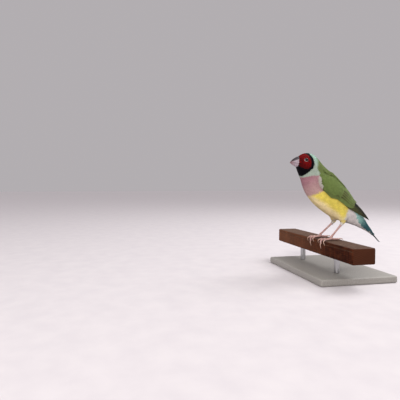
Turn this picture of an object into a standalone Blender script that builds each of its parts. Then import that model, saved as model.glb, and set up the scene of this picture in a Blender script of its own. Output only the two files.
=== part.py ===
"""A gouldian finch hen, life size, gripping a cut length of wooden bar on a plain display stand.

The bird faces -Y, its left side is +X and the bar runs along X. Sizes are in millimetres and are
turned into metres by place(). Within the bird a point is (forward, height, side): forward from
the middle of the feet towards the bill, height over the top of the bar, side positive to its left.
"""

import math

import bmesh
import bpy
import numpy as np
from mathutils import Vector

MM = 0.001
GAP = 0.3

BASE_LENGTH, BASE_WIDTH, BASE_THICKNESS = 108.0, 72.0, 6.0
ROD_RADIUS, ROD_HEIGHT, ROD_SPACING = 2.5, 14.0, 64.0
BAR_FRONT, BAR_BACK, BAR_HEIGHT = 8.3, -12.0, 13.3
BAR_FAR_END, BAR_NEAR_END = -86.0, 56.0
BAR_EDGE = 1.1
BAR_TOP = BASE_THICKNESS + ROD_HEIGHT + BAR_HEIGHT + 2 * GAP

BILL_TIP = 35.8
TAIL_TIP = (-56.4, -4.6)
BIRD_X = -(BAR_FAR_END + BAR_NEAR_END) / 2
BIRD_Y = (BILL_TIP + TAIL_TIP[0]) / 2

# Sections of head, neck, body and rump, bill to tail: the point on the back (forward, height),
# the point on the breast or belly (forward, height), and half the width.
BODY_SECTIONS = (
    (28.9, 72.6, 29.5, 68.2, 2.6),
    (27.5, 75.3, 29.2, 65.6, 4.6),
    (24.8, 77.3, 27.9, 62.2, 6.2),
    (21.2, 78.4, 26.8, 59.4, 7.1),
    (17.0, 78.2, 25.8, 56.9, 7.5),
    (13.0, 76.6, 24.8, 54.5, 7.6),
    (9.7, 74.0, 24.1, 52.3, 8.0),
    (6.7, 70.7, 23.4, 50.2, 8.8),
    (3.4, 66.8, 22.4, 47.8, 10.0),
    (-0.6, 62.7, 20.9, 44.7, 11.3),
    (-5.0, 58.1, 18.0, 39.9, 12.4),
    (-10.0, 52.9, 13.4, 34.4, 13.0),
    (-15.3, 47.6, 7.9, 29.3, 13.0),
    (-20.4, 41.7, 1.3, 24.5, 12.3),
    (-25.0, 35.8, -5.9, 20.1, 11.0),
    (-29.6, 31.0, -13.4, 16.9, 9.2),
    (-33.2, 26.6, -21.2, 14.5, 7.2),
    (-36.4, 22.0, -28.4, 12.4, 5.6),
    (-40.0, 17.2, -34.8, 9.8, 4.3),
    (-43.6, 12.2, -39.8, 7.4, 3.0),
    (-46.2, 8.0, -43.6, 5.6, 1.7),
)
HEAD_END, NECK_END, TORSO_END = 4.55, 8.0, 16.9
RINGS_PER_SECTION, RING_SIDES = 2, 28

# The surface that the folded wings lie on: the body's own, opened up over the rump so that the
# wing tips clear the tail coverts.
WING_SECTIONS = (
    (5.0, 69.2, 23.2, 49.3, 9.6),
    (3.1, 67.1, 22.6, 47.6, 10.3),
    (-0.9, 63.0, 21.1, 44.5, 11.6),
    (-5.3, 58.4, 18.2, 39.7, 12.7),
    (-10.3, 53.2, 13.6, 34.2, 13.3),
    (-15.6, 47.9, 8.1, 29.1, 13.3),
    (-20.8, 42.0, 1.5, 24.3, 12.6),
    (-25.4, 36.2, -5.8, 19.8, 11.4),
    (-30.4, 31.8, -14.4, 17.6, 9.8),
    (-34.6, 27.8, -23.0, 17.0, 8.0),
    (-38.2, 23.7, -30.6, 16.6, 6.4),
    (-41.2, 19.8, -36.4, 15.4, 5.2),
    (-43.6, 15.9, -40.4, 13.0, 4.5),
)

# The eye's place on the head: its section, and its angle from the crown in degrees.
EYE_SECTION, EYE_ANGLE = 2.92, 71.0
EYE_RADIUS, EYE_DEPTH = 2.7, 2.15
LID_RING, LID_RADIUS = 2.05, 0.42
NOSTRIL = (29.1, 73.5, 2.75)

# Bill sections: forward, height of the ridge, height of the mouth line, half the width.
UPPER_BILL = (
    (24.0, 74.9, 67.3, 4.1),
    (28.0, 75.3, 68.6, 4.25),
    (30.6, 74.4, 69.3, 3.6),
    (33.0, 72.9, 69.7, 2.55),
    (34.7, 71.3, 69.6, 1.45),
    (35.5, 70.3, 69.3, 0.75),
    (BILL_TIP, 69.8, 69.2, 0.3),
)
LOWER_BILL = (
    (24.0, 64.6, 67.0, 3.9),
    (28.0, 65.5, 68.3, 4.0),
    (30.6, 66.3, 69.0, 3.2),
    (32.8, 67.4, 69.4, 2.1),
    (34.2, 68.3, 69.3, 1.15),
    (35.0, 68.8, 69.1, 0.45),
)

# The feathered thigh from inside the belly down to the heel: forward, height and radius.
THIGH = (
    (-8.0, 28.0, 1.6),
    (-9.6, 25.8, 3.4),
    (-11.4, 23.0, 4.3),
    (-12.8, 20.3, 4.1),
    (-13.2, 17.9, 3.3),
    (-12.8, 15.7, 2.4),
    (-11.8, 14.2, 1.8),
)
HEEL, ANKLE = (-11.0, 13.4), (-0.9, 3.2)
TARSUS_RADII = (1.15, 0.85, 0.8, 0.95, 1.25)
HEEL_RADIUS, FOOT_PAD, FOOT_FORWARD = 1.5, 1.5, -0.5
FEET = {"left": (6.9, 9.0), "right": (-6.9, -10.4)}

# Toes: heading in degrees, outwards positive, length of toe and of claw, and thickness.
TOES = {
    "inner": (-24.0, 9.8, 3.3, 0.72),
    "middle": (-2.0, 12.6, 3.8, 0.8),
    "outer": (23.0, 10.4, 3.4, 0.72),
    "hind": (176.0, 7.2, 4.2, 0.82),
}

COLOURS = {
    "face": (0.22, 0.015, 0.012),
    "turquoise": (0.2, 0.52, 0.42),
    "mauve": (0.42, 0.25, 0.31),
    "green": (0.16, 0.28, 0.06),
    "yellow": (0.66, 0.52, 0.16),
    "tail": (0.03, 0.14, 0.14),
    "horn": (0.68, 0.6, 0.57),
    "leg": (0.62, 0.33, 0.3),
    "claw": (0.5, 0.36, 0.3),
    "eye": (0.02, 0.012, 0.01),
    "bar": (0.13, 0.05, 0.03),
    "base": (0.36, 0.33, 0.29),
    "rod": (0.6, 0.6, 0.6),
}


def place(forward, height, side):
    """A point of the bird, in millimetres, as a point of the model in metres."""
    return Vector((BIRD_X + side, BIRD_Y - forward, BAR_TOP + height)) * MM


def material(name, roughness=0.6, metallic=0.0):
    found = bpy.data.materials.get(name)
    if found is None:
        found = bpy.data.materials.new(name)
        found.use_nodes = True
        shader = found.node_tree.nodes["Principled BSDF"]
        shader.inputs["Base Color"].default_value = (*COLOURS[name], 1.0)
        shader.inputs["Roughness"].default_value = roughness
        shader.inputs["Metallic"].default_value = metallic
    return found


def collection(name):
    made = bpy.data.collections.new(name)
    bpy.context.scene.collection.children.link(made)
    return made


def clear_scene():
    for obj in list(bpy.data.objects):
        bpy.data.objects.remove(obj, do_unlink=True)


def object_from(bm, name, group):
    """The bmesh as a new object, with its faces pointing out."""
    bmesh.ops.recalc_face_normals(bm, faces=bm.faces)
    if bm.calc_volume(signed=True) < 0:
        bmesh.ops.reverse_faces(bm, faces=bm.faces)
    mesh = bpy.data.meshes.new(name)
    bm.to_mesh(mesh)
    bm.free()
    obj = bpy.data.objects.new(name, mesh)
    group.objects.link(obj)
    return obj


class Form:
    """A lofted surface through sections, measured along its middle line and round its girth."""

    FINE = 40
    TURNS = np.linspace(-math.pi, 2 * math.pi, 361)

    def __init__(self, sections):
        self.sections = np.array(sections)
        steps = np.linspace(0, len(sections) - 1, self.FINE * (len(sections) - 1) + 1)
        middles = np.array([self.middle(t) for t in steps])
        lengths = np.linalg.norm(np.diff(middles, axis=0), axis=1)
        self.steps, self.lengths = steps, np.concatenate([[0], np.cumsum(lengths)])

    def section(self, t):
        """The section at position t, counted in sections, on a smooth curve through them all."""
        last = len(self.sections) - 1
        t = min(max(t, 0.0), last)
        i = min(int(t), last - 1)
        x = t - i
        a, b, c, d = (self.sections[min(max(j, 0), last)] for j in (i - 1, i, i + 1, i + 2))
        return b + 0.5 * x * (c - a + x * (2 * a - 5 * b + 4 * c - d + x * (3 * (b - c) + d - a)))

    def middle(self, t):
        top_f, top_h, low_f, low_h, _ = self.section(t)
        return np.array([(top_f + low_f) / 2, (top_h + low_h) / 2])

    def at_angle(self, t, angle, lift=0.0):
        """The point at an angle from the back, raised outwards, as (forward, height, side)."""
        top_f, top_h, low_f, low_h, half_width = self.section(t)
        half = math.hypot(top_f - low_f, top_h - low_h) / 2
        up_f, up_h = (top_f - low_f) / (2 * half), (top_h - low_h) / (2 * half)
        reach = (half + lift) * math.cos(angle)
        forward = (top_f + low_f) / 2 + up_f * reach
        height = (top_h + low_h) / 2 + up_h * reach
        return forward, height, (half_width + lift) * math.sin(angle)

    def normal(self, t, angle):
        """The way out of the surface at a section and an angle."""
        step = 0.02
        along = place(*self.at_angle(t + step, angle)) - place(*self.at_angle(t - step, angle))
        around = place(*self.at_angle(t, angle + step)) - place(*self.at_angle(t, angle - step))
        out = along.cross(around).normalized()
        inside = place(*self.at_angle(t, angle, -1.0)) - place(*self.at_angle(t, angle))
        return -out if out.dot(inside) > 0 else out

    def position(self, along):
        return float(np.interp(along, self.lengths, self.steps))

    def girth(self, t):
        """Angles, and the arc length from the back to each."""
        top_f, top_h, low_f, low_h, half_width = self.section(t)
        half = math.hypot(top_f - low_f, top_h - low_h) / 2
        speed = np.hypot(half * np.sin(self.TURNS), half_width * np.cos(self.TURNS))
        arcs = np.concatenate([[0], np.cumsum((speed[1:] + speed[:-1]) / 2)])
        arcs *= self.TURNS[1] - self.TURNS[0]
        return self.TURNS, arcs - np.interp(0, self.TURNS, arcs)

    def at(self, along, around, lift, belly=False):
        """The point this far along from the first section and round from the back, or belly."""
        t = self.position(along)
        angles, arcs = self.girth(t)
        if belly:
            around += float(np.interp(math.pi, angles, arcs))
        return self.at_angle(t, float(np.interp(around, arcs, angles)), lift)


BODY = Form(BODY_SECTIONS)
WING = Form(WING_SECTIONS)


def bridge_rings(rings, name, group, sheet=False):
    """A closed body through rings of points, each end closed by one face.

    The rings of a sheet run along its under face and back along its upper one, and both faces
    are split into triangles alike, so that a thin curved sheet never crosses itself.
    """
    bm = bmesh.new()
    loops = [[bm.verts.new(p) for p in ring] for ring in rings]
    count = len(loops[0])
    for one, two in zip(loops, loops[1:]):
        for i in range(count):
            j = (i + 1) % count
            if not sheet:
                bm.faces.new((one[i], one[j], two[j], two[i]))
            elif i < count // 2:
                bm.faces.new((one[i], one[j], two[j]))
                bm.faces.new((one[i], two[j], two[i]))
            else:
                bm.faces.new((one[i], one[j], two[i]))
                bm.faces.new((one[j], two[j], two[i]))
    bm.faces.new(reversed(loops[0]))
    bm.faces.new(loops[-1])
    return object_from(bm, name, group)


def body_loft(name, group, first=0.0, last=len(BODY_SECTIONS) - 1, lift=0.0):
    """The whole body between two positions, swollen by lift."""
    count = round((last - first) * RINGS_PER_SECTION) + 1
    rings = []
    for t in np.linspace(first, last, count):
        angles = [2 * math.pi * (i + 0.5) / RING_SIDES for i in range(RING_SIDES)]
        rings.append([place(*BODY.at_angle(t, a, lift)) for a in angles])
    return bridge_rings(rings, name, group)


def cut_plane(t):
    """A point on the body's cross-cut at t, and the way towards the tail."""
    top_f, top_h, low_f, low_h, _ = BODY.section(t)
    across = place(top_f, top_h, 0) - place(low_f, low_h, 0)
    towards_tail = across.cross(Vector((1, 0, 0))).normalized()
    if towards_tail.y < 0:
        towards_tail.negate()
    return (place(top_f, top_h, 0) + place(low_f, low_h, 0)) / 2, towards_tail


def slice_between(obj, start, end):
    """Keeps what lies between two cross-cuts, half a gap back from each; None leaves that end."""
    bm = bmesh.new()
    bm.from_mesh(obj.data)
    for t, sign in ((start, 1), (end, -1)):
        if t is None:
            continue
        point, towards_tail = cut_plane(t)
        point = point + towards_tail * sign * GAP / 2 * MM
        parts = bm.verts[:] + bm.edges[:] + bm.faces[:]
        cut = bmesh.ops.bisect_plane(
            bm, geom=parts, plane_co=point, plane_no=towards_tail,
            clear_inner=sign > 0, clear_outer=sign < 0, dist=1e-7,
        )
        edges = [e for e in cut["geom_cut"] if isinstance(e, bmesh.types.BMEdge)]
        bmesh.ops.holes_fill(bm, edges=edges)
    bm.to_mesh(obj.data)
    bm.free()
    return obj


def apply_modifier(obj, modifier):
    """Bakes an object's one modifier into its mesh."""
    graph = bpy.context.evaluated_depsgraph_get()
    made = bpy.data.meshes.new_from_object(obj.evaluated_get(graph))
    obj.modifiers.remove(modifier)
    obj.data = made


def keep_largest(obj):
    """Drops every loose scrap and sealed hollow but the closed surface with the most faces."""
    bm = bmesh.new()
    bm.from_mesh(obj.data)
    left, shells = set(bm.faces), []
    while left:
        stack, shell = [left.pop()], []
        while stack:
            face = stack.pop()
            shell.append(face)
            near = [f for e in face.edges for f in e.link_faces if f in left]
            stack += set(near)
            left.difference_update(near)
        shells.append(shell)
    shells.sort(key=len)
    for shell in shells[:-1]:
        bmesh.ops.delete(bm, geom=shell, context="FACES")
    bm.to_mesh(obj.data)
    bm.free()


def boolean(obj, others, operation, solver="MANIFOLD"):
    """Joins others to the object, or cuts them from it, and removes them."""
    group = collection("joined")
    for other in others:
        for home in list(other.users_collection):
            home.objects.unlink(other)
        group.objects.link(other)
    modifier = obj.modifiers.new("join", "BOOLEAN")
    modifier.operation, modifier.solver = operation, solver
    modifier.operand_type, modifier.collection = "COLLECTION", group
    apply_modifier(obj, modifier)
    for other in others:
        bpy.data.objects.remove(other, do_unlink=True)
    bpy.data.collections.remove(group)
    keep_largest(obj)
    return obj


def finish(obj, colour, roughness=0.6, metallic=0.0, smooth=True):
    obj.data.materials.clear()
    obj.data.materials.append(material(colour, roughness, metallic))
    if smooth:
        obj.data.shade_smooth()
        obj.data.set_sharp_from_angle(angle=math.radians(38))


def sphere(name, group, centre, radii, segments=16, rings=10):
    """A ball or egg at a point of the bird, its pole along X."""
    bm = bmesh.new()
    bmesh.ops.create_uvsphere(bm, u_segments=segments, v_segments=rings, radius=1.0)
    for vert in bm.verts:
        x, y, z = vert.co
        forward, height, side = -y * radii[0], x * radii[1], z * radii[2]
        vert.co = place(centre[0] + forward, centre[1] + height, centre[2] + side)
    return object_from(bm, name, group)


def ball(name, group, centre, radius):
    """A ball round a point that is already in metres."""
    bm = bmesh.new()
    bmesh.ops.create_uvsphere(bm, u_segments=16, v_segments=10, radius=radius * MM)
    bmesh.ops.translate(bm, verts=bm.verts, vec=centre)
    return object_from(bm, name, group)


def tube(name, group, points, radii, resolution=2):
    """A tapered round bar through points of the bird, its ends closed and welded."""
    curve = bpy.data.curves.new(name, "CURVE")
    curve.dimensions, curve.use_fill_caps = "3D", True
    curve.bevel_depth, curve.bevel_resolution = MM, resolution
    spline = curve.splines.new("POLY")
    spline.points.add(len(points) - 1)
    for spot, point, radius in zip(spline.points, points, radii):
        spot.co = (*place(*point), 1.0)
        spot.radius = radius
    line = bpy.data.objects.new(name + "_line", curve)
    group.objects.link(line)
    bpy.context.view_layer.update()
    mesh = bpy.data.meshes.new_from_object(line.evaluated_get(bpy.context.evaluated_depsgraph_get()))
    bm = bmesh.new()
    bm.from_mesh(mesh)
    bmesh.ops.remove_doubles(bm, verts=bm.verts, dist=1e-6)
    bpy.data.objects.remove(line, do_unlink=True)
    bpy.data.meshes.remove(mesh)
    return object_from(bm, name, group)


def make_body(group, work):
    """Head, neck and torso: one loft, parted by thin flat cuts."""
    spans = {"head": (None, HEAD_END), "neck": (HEAD_END, NECK_END), "torso": (NECK_END, TORSO_END)}
    made = {}
    for name, (start, end) in spans.items():
        made[name] = slice_between(body_loft(name, group), start, end)
    sockets, lids = [], []
    for sign in (1, -1):
        spot, out = eye_spot(sign)
        sockets.append(ball("socket", work, spot - out * EYE_DEPTH * MM, EYE_RADIUS + GAP))
        bpy.ops.mesh.primitive_torus_add(
            major_radius=LID_RING * MM, minor_radius=LID_RADIUS * MM, major_segments=20,
            minor_segments=8, location=spot + out * 0.1 * MM,
            rotation=out.to_track_quat("Z", "Y").to_euler(),
        )
        lids.append(bpy.context.object)
    boolean(made["head"], lids, "UNION")
    boolean(made["head"], sockets, "DIFFERENCE")
    finish(made["head"], "face")
    finish(made["neck"], "turquoise")
    finish(made["torso"], "mauve")


def eye_spot(sign):
    """The middle of one eye on the head's surface, in metres, and the way out of the head."""
    angle = sign * math.radians(EYE_ANGLE)
    return place(*BODY.at_angle(EYE_SECTION, angle)), BODY.normal(EYE_SECTION, angle)


def make_eyes(group):
    for name, sign in (("left", 1), ("right", -1)):
        spot, out = eye_spot(sign)
        eye = ball("eye_" + name, group, spot - out * EYE_DEPTH * MM, EYE_RADIUS)
        finish(eye, "eye", 0.1)


def half_round_ring(forward, ridge, mouth, half_width, sides=13):
    """A section of one mandible: flat along the mouth line, round over the ridge."""
    angles = [math.pi * i / (sides - 1) for i in range(sides)]
    rise = ridge - mouth
    return [place(forward, mouth + rise * math.sin(a), half_width * math.cos(a)) for a in angles]


def make_bill(group, work):
    """Two mandibles that close on a thin mouth line, cut back to the face they grow from."""
    for name, sections in (("bill_upper", UPPER_BILL), ("bill_lower", LOWER_BILL)):
        mandible = bridge_rings([half_round_ring(*s) for s in sections], name, group)
        cutters = [body_loft("face_cutter", work, 0.0, 5.0, GAP)]
        boolean(mandible, cutters, "DIFFERENCE")
        if name == "bill_upper":
            pits = []
            for sign in (1, -1):
                spot = (NOSTRIL[0], NOSTRIL[1], sign * NOSTRIL[2])
                pits.append(sphere("nostril", work, spot, (0.6, 0.42, 0.6), 10, 6))
            boolean(mandible, pits, "DIFFERENCE")
        finish(mandible, "horn", 0.4)


def over_bar(distance, clearance, backwards=False):
    """(forward, height) after walking this far over the bar from the foot's middle, clear of it.

    The walk runs along the top, round the edge and down the face.
    """
    sign, edge = (-1, -BAR_BACK) if backwards else (1, BAR_FRONT)
    flat = edge - BAR_EDGE - sign * FOOT_FORWARD
    bend = (BAR_EDGE + clearance) * math.pi / 2
    corner_f, corner_h = edge - BAR_EDGE, -BAR_EDGE
    if distance < flat:
        reach, height = sign * FOOT_FORWARD + distance, clearance
    elif distance < flat + bend:
        angle = (distance - flat) / bend * math.pi / 2
        reach = corner_f + (BAR_EDGE + clearance) * math.sin(angle)
        height = corner_h + (BAR_EDGE + clearance) * math.cos(angle)
    else:
        reach, height = edge + clearance, corner_h - (distance - flat - bend)
    return sign * reach, height


def toe_points(side, heading, start, end, clearances):
    """Points of a toe or claw between two distances from the foot's middle."""
    outwards = math.copysign(1, side)
    backwards = abs(heading) > 90
    turn = math.radians(180 - heading if backwards else heading)
    points = []
    for distance, clearance in zip(np.linspace(start, end, len(clearances)), clearances):
        forward, height = over_bar(distance * math.cos(turn), clearance, backwards)
        points.append((forward, height, side + outwards * distance * math.sin(turn)))
    return points


def make_foot(name, side, heel, group, work):
    """Pad, ankle and four toes that lie over the bar, and a claw on each toe."""
    pad_centre = (FOOT_FORWARD, FOOT_PAD + GAP, side)
    foot = sphere("foot_" + name, group, pad_centre, (FOOT_PAD, FOOT_PAD, FOOT_PAD), 12, 8)
    toes = []
    for toe, (heading, length, claw_length, radius) in TOES.items():
        swell = (1.25, 1.1, 0.9, 1.1, 0.88, 1.05, 0.8)
        radii = [radius * s for s in swell]
        points = toe_points(side, heading, 0.6, length, [GAP + r + 0.02 for r in radii])
        toes.append(tube("toe", work, points, radii))
        claw_radii = [radius * s for s in (0.74, 0.66, 0.54, 0.4, 0.16)]
        arch = (0.1, 0.5, 0.75, 0.65, 0.15)
        clearances = [GAP + r + a for r, a in zip(claw_radii, arch)]
        clearances[0] = GAP + radii[-1]
        points = toe_points(side, heading, length + GAP, length + GAP + claw_length, clearances)
        claw = tube(f"claw_{name}_{toe}", group, points, claw_radii)
        finish(claw, "claw", 0.4)
    ankle = (*ANKLE, side)
    bend = between(ankle, heel, -1.0 / math.dist(ankle, heel))
    toes.append(tube("stub", work, [pad_centre, bend, ankle], (1.2, 1.15, 1.15), 3))
    boolean(foot, toes, "UNION")
    finish(foot, "leg", 0.5)


def between(one, two, share):
    return tuple(a + (b - a) * share for a, b in zip(one, two))


def make_leg(name, hip_side, foot_side, group, work):
    """Feathered thigh, bare tarsus with its heel, and the foot."""
    heel_side = between((hip_side,), (foot_side,), 0.3)[0]
    heel, ankle = (*HEEL, heel_side), (*ANKLE, foot_side)
    length = math.dist(heel, ankle)
    start = between(ankle, heel, GAP / length)
    points = [between(start, heel, share) for share in (0, 0.12, 0.5, 0.86, 1)]
    tarsus = tube("tarsus_" + name, group, points, TARSUS_RADII, 3)
    boolean(tarsus, [sphere("heel", work, heel, (HEEL_RADIUS,) * 3, 12, 8)], "UNION")
    finish(tarsus, "leg", 0.5)

    points, radii = [], []
    for share, (forward, height, radius) in zip(np.linspace(0, 1, len(THIGH)), THIGH):
        points.append((forward, height, mix(hip_side, heel_side, share)))
        radii.append(radius)
    thigh = tube("thigh_" + name, group, points + [heel], radii + [1.7], 4)
    cutters = [body_loft("belly_cutter", work, lift=GAP)]
    cutters.append(sphere("heel_cutter", work, heel, (HEEL_RADIUS + GAP,) * 3, 12, 8))
    boolean(thigh, cutters, "DIFFERENCE")
    finish(thigh, "yellow")
    make_foot(name, foot_side, heel, group, work)


def spread(count):
    """Shares from 0 to 1 for a row of this many feathers."""
    return [i / (count - 1) for i in range(count)]


def mix(start, end, share):
    return start + (end - start) * share


QUILL = ((0.0, 0.5), (0.4, 0.9), (0.74, 0.95), (0.92, 0.62), (1.0, 0.2))
COVERT = ((0.0, 0.7), (0.5, 1.0), (0.84, 0.8), (1.0, 0.35))


def vane(form, group, side, root, tip, half_width, low, high, outline, belly=False):
    """A feather's vane laid on a form.

    root and tip are (along, around), around counted from the back or from the belly. low and
    high are the lift of its under and upper face, each at the root and at the tip. The edge
    further round is pressed down, onto the vane that it laps.
    """
    rings = []
    run = np.subtract(tip, root)
    across = np.array([-run[1], run[0]]) / np.linalg.norm(run)
    for share, wide in outline:
        middle = np.add(root, run * share)
        under, upper = mix(*low, share), mix(*high, share)
        corners = ((-1, under), (1, under), (1, upper - 0.3), (-1, upper))
        ring = []
        for sign, lift in corners:
            along, around = middle + across * sign * half_width * wide
            forward, height, out = form.at(along, around, lift, belly)
            ring.append(place(forward, height, side * out))
        rings.append(ring)
    return bridge_rings(rings, "vane", group, sheet=True)


# The folded wing's plan: distance along, edge towards the back, edge towards the belly, lift.
WING_PLAN = (
    (2.6, 17.0, 19.5, -0.4),
    (4.6, 13.0, 22.0, 0.5),
    (8.0, 10.0, 24.4, 0.95),
    (13.0, 8.0, 25.8, 1.15),
    (20.0, 6.4, 26.0, 1.2),
    (29.0, 4.8, 23.2, 1.1),
    (38.0, 4.2, 18.8, 0.95),
    (46.0, 4.6, 14.0, 0.75),
    (52.0, 5.4, 10.4, 0.5),
)
WING_COLUMNS = 8


def make_wing_core(name, side, group):
    """The thin arm and fold that every feather of the wing grows from."""
    rings = []
    for along, back_edge, low_edge, rise in WING_PLAN:
        ring = []
        for lift, order in ((-1.2, 1), (rise, -1)):
            for share in np.linspace(0, 1, WING_COLUMNS + 1)[::order]:
                edge = abs(2 * share - 1) ** 3
                lifted = lift - 0.5 * edge if order < 0 else lift
                around = mix(back_edge, low_edge, share)
                forward, height, out = WING.at(along, around, lifted)
                ring.append(place(forward, height, side * out))
        rings.append(ring)
    return bridge_rings(rings, name, group, sheet=True)


def make_wing(name, side, group, work):
    """A folded wing: flight feathers in tiers over a thin arm, tertials and coverts on top."""
    core = make_wing_core("wing_" + name, side, group)
    vanes = []

    def lay(root, tip, half_width, low, high, outline):
        vanes.append(vane(WING, work, side, root, tip, half_width, low, high, outline))

    for share in spread(8):
        root = (14.0, mix(24.5, 18.0, share))
        tip = (mix(69.0, 53.5, share), mix(2.8, 8.6, share))
        lift = mix(0.55, 1.25, share)
        lay(root, tip, mix(2.5, 2.9, share), (0.2, lift - 0.55), (0.85, lift), QUILL)
    for share in spread(5):
        root = (14.0, mix(20.0, 13.0, share))
        tip = (mix(46.5, 43.5, share), mix(12.6, 6.4, share))
        lift = mix(1.35, 1.65, share)
        lay(root, tip, 2.9, (0.4, lift - 0.7), (1.0, lift), QUILL)
    for share in spread(3):
        root = (15.0, mix(12.0, 7.4, share))
        tip = (mix(47.0, 36.0, share), mix(6.0, 4.2, share))
        lift = mix(1.75, 2.1, share)
        lay(root, tip, 3.2, (0.5, lift - 0.8), (1.2, lift), QUILL)
    for share in spread(4):
        root = (11.0, mix(24.0, 21.8, share))
        tip = (mix(24.0, 27.0, share), mix(25.2, 21.4, share))
        lay(root, tip, 1.9, (0.4, 0.6), (1.0, mix(1.5, 1.75, share)), COVERT)
    for share in spread(7):
        root = (10.0, mix(21.5, 8.0, share))
        tip = (mix(27.5, 25.0, share), mix(19.5, 6.6, share))
        lay(root, tip, 2.2, (0.4, 0.9), (1.1, mix(1.95, 2.3, share)), COVERT)
    for share in spread(6):
        root = (7.0, mix(22.0, 8.8, share))
        tip = (mix(19.5, 17.5, share), mix(21.0, 7.2, share))
        lay(root, tip, 2.2, (0.3, 1.0), (0.9, mix(2.1, 2.4, share)), COVERT)
    for share in spread(5):
        root = (5.0, mix(20.5, 11.0, share))
        tip = (mix(13.5, 11.5, share), mix(21.5, 8.2, share))
        lay(root, tip, 2.2, (0.0, 1.0), (0.5, 2.1), COVERT)
    boolean(core, vanes, "UNION")
    boolean(core, [body_loft("flank_cutter", work, lift=GAP)], "DIFFERENCE")
    finish(core, "green")


TAIL_LINE = ((-34.4, 15.4), (-40.4, 10.6), (-47.6, 4.4), TAIL_TIP)


def tail_point(share, side, lift):
    """A point on the tail's own gently drooping line, raised square to it."""
    points = np.array(TAIL_LINE)
    lengths = np.concatenate([[0], np.cumsum(np.linalg.norm(np.diff(points, axis=0), axis=1))])
    spot = [np.interp(share * lengths[-1], lengths, points[:, i]) for i in range(2)]
    slope = points[-1] - points[0]
    up_f, up_h = np.array([slope[1], -slope[0]]) / np.linalg.norm(slope)
    return place(spot[0] + up_f * lift, spot[1] + up_h * lift, side)


def tail_feather(work, reach, side, splay, half_width, low, high, outline):
    """One tail feather; its tip stands splay further out than its root."""
    rings = []
    for share, wide in outline:
        middle = side + splay * share
        half = half_width * wide
        edges = ((middle - half, low), (middle + half, low), (middle + half, high), (middle - half, high))
        rings.append([tail_point(share * reach, *edge) for edge in edges])
    return bridge_rings(rings, "tail_feather", work)


BLUNT = ((0.0, 0.6), (0.3, 0.9), (0.6, 1.0), (0.85, 0.85), (0.96, 0.55), (1.0, 0.25))
PIN = ((0.0, 0.7), (0.3, 1.0), (0.55, 0.9), (0.72, 0.5), (0.86, 0.3), (1.0, 0.16))


def make_tail(group, work):
    """Twelve tail feathers in a closed stack, and the coverts over and under their roots."""
    tail = slice_between(body_loft("tail", group), TORSO_END, None)
    pieces = []
    for pair in range(6):
        for sign in (1, -1):
            outline = PIN if pair == 0 else BLUNT
            reach = 1.0 if pair == 0 else mix(0.8, 0.66, pair / 5)
            level = -0.42 * pair + (0.12 if sign > 0 else 0.0)
            side, splay = sign * (0.55 + 0.28 * pair), sign * (0.1 + 0.32 * pair)
            half = 1.35 if pair == 0 else 1.8
            pieces.append(
                tail_feather(work, reach, side, splay, half, level - 0.3, level + 0.3, outline)
            )
    start = np.interp(TORSO_END, BODY.steps, BODY.lengths)
    span = BODY.lengths[-1] - start
    rows = (
        (False, 5, 0.04, 0.62), (False, 5, 0.3, 0.86), (False, 3, 0.5, 1.03),
        (True, 5, 0.04, 0.6), (True, 3, 0.36, 0.88),
    )
    for belly, count, begin, reach in rows:
        wide = 3.4 if belly else 3.9
        for share in spread(count):
            angle = mix(-1, 1, share)
            root = (start + span * begin + 0.5, angle * wide)
            tip = (start + span * (reach - 0.1 * abs(angle)), angle * wide * 0.42)
            pieces.append(
                vane(BODY, work, 1, root, tip, 1.6, (-0.5, 0.0), (0.1, 0.8), COVERT, belly)
            )
    boolean(tail, pieces, "UNION")
    finish(tail, "tail")


def box(name, group, size, centre, edge):
    """A block in the model's own frame, its edges rounded."""
    bm = bmesh.new()
    bmesh.ops.create_cube(bm, size=1.0)
    for vert in bm.verts:
        vert.co = Vector(c * MM * s + m * MM for c, s, m in zip(vert.co, size, centre))
    obj = object_from(bm, name, group)
    bevel = obj.modifiers.new("edges", "BEVEL")
    bevel.width, bevel.segments, bevel.limit_method = edge * MM, 3, "ANGLE"
    return obj


def make_stand(group):
    """The bar that the bird grips, two short rods and a flat base."""
    length, middle = BAR_NEAR_END - BAR_FAR_END, BIRD_Y - (BAR_FRONT + BAR_BACK) / 2
    size = (length, BAR_FRONT - BAR_BACK, BAR_HEIGHT)
    bar = box("perch_bar", group, size, (0, middle, BAR_TOP - BAR_HEIGHT / 2), BAR_EDGE)
    finish(bar, "bar", 0.6)
    size = (BASE_LENGTH, BASE_WIDTH, BASE_THICKNESS)
    base = box("stand_base", group, size, (0, 0, BASE_THICKNESS / 2), 1.5)
    finish(base, "base", 0.7)
    for number, sign in ((1, -1), (2, 1)):
        centre = (sign * ROD_SPACING / 2, middle, BASE_THICKNESS + GAP + ROD_HEIGHT / 2)
        bpy.ops.mesh.primitive_cylinder_add(
            vertices=24, radius=ROD_RADIUS * MM, depth=ROD_HEIGHT * MM,
            location=[c * MM for c in centre],
        )
        rod = bpy.context.object
        rod.name = rod.data.name = f"stand_rod_{number}"
        for home in list(rod.users_collection):
            home.objects.unlink(rod)
        group.objects.link(rod)
        finish(rod, "rod", 0.3, 1.0)


def main():
    clear_scene()
    group, work = collection("gouldian_finch"), collection("work")
    make_body(group, work)
    make_eyes(group)
    make_bill(group, work)
    make_tail(group, work)
    for name, (hip_side, foot_side) in FEET.items():
        make_leg(name, hip_side, foot_side, group, work)
    for name, side in (("left", 1), ("right", -1)):
        make_wing(name, side, group, work)
    make_stand(group)


main()
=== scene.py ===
"""A gouldian finch hen, life size, gripping a cut length of wooden bar on a plain display stand."""

import math

import bmesh
import bpy
import numpy as np
from mathutils import Matrix, Vector


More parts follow.
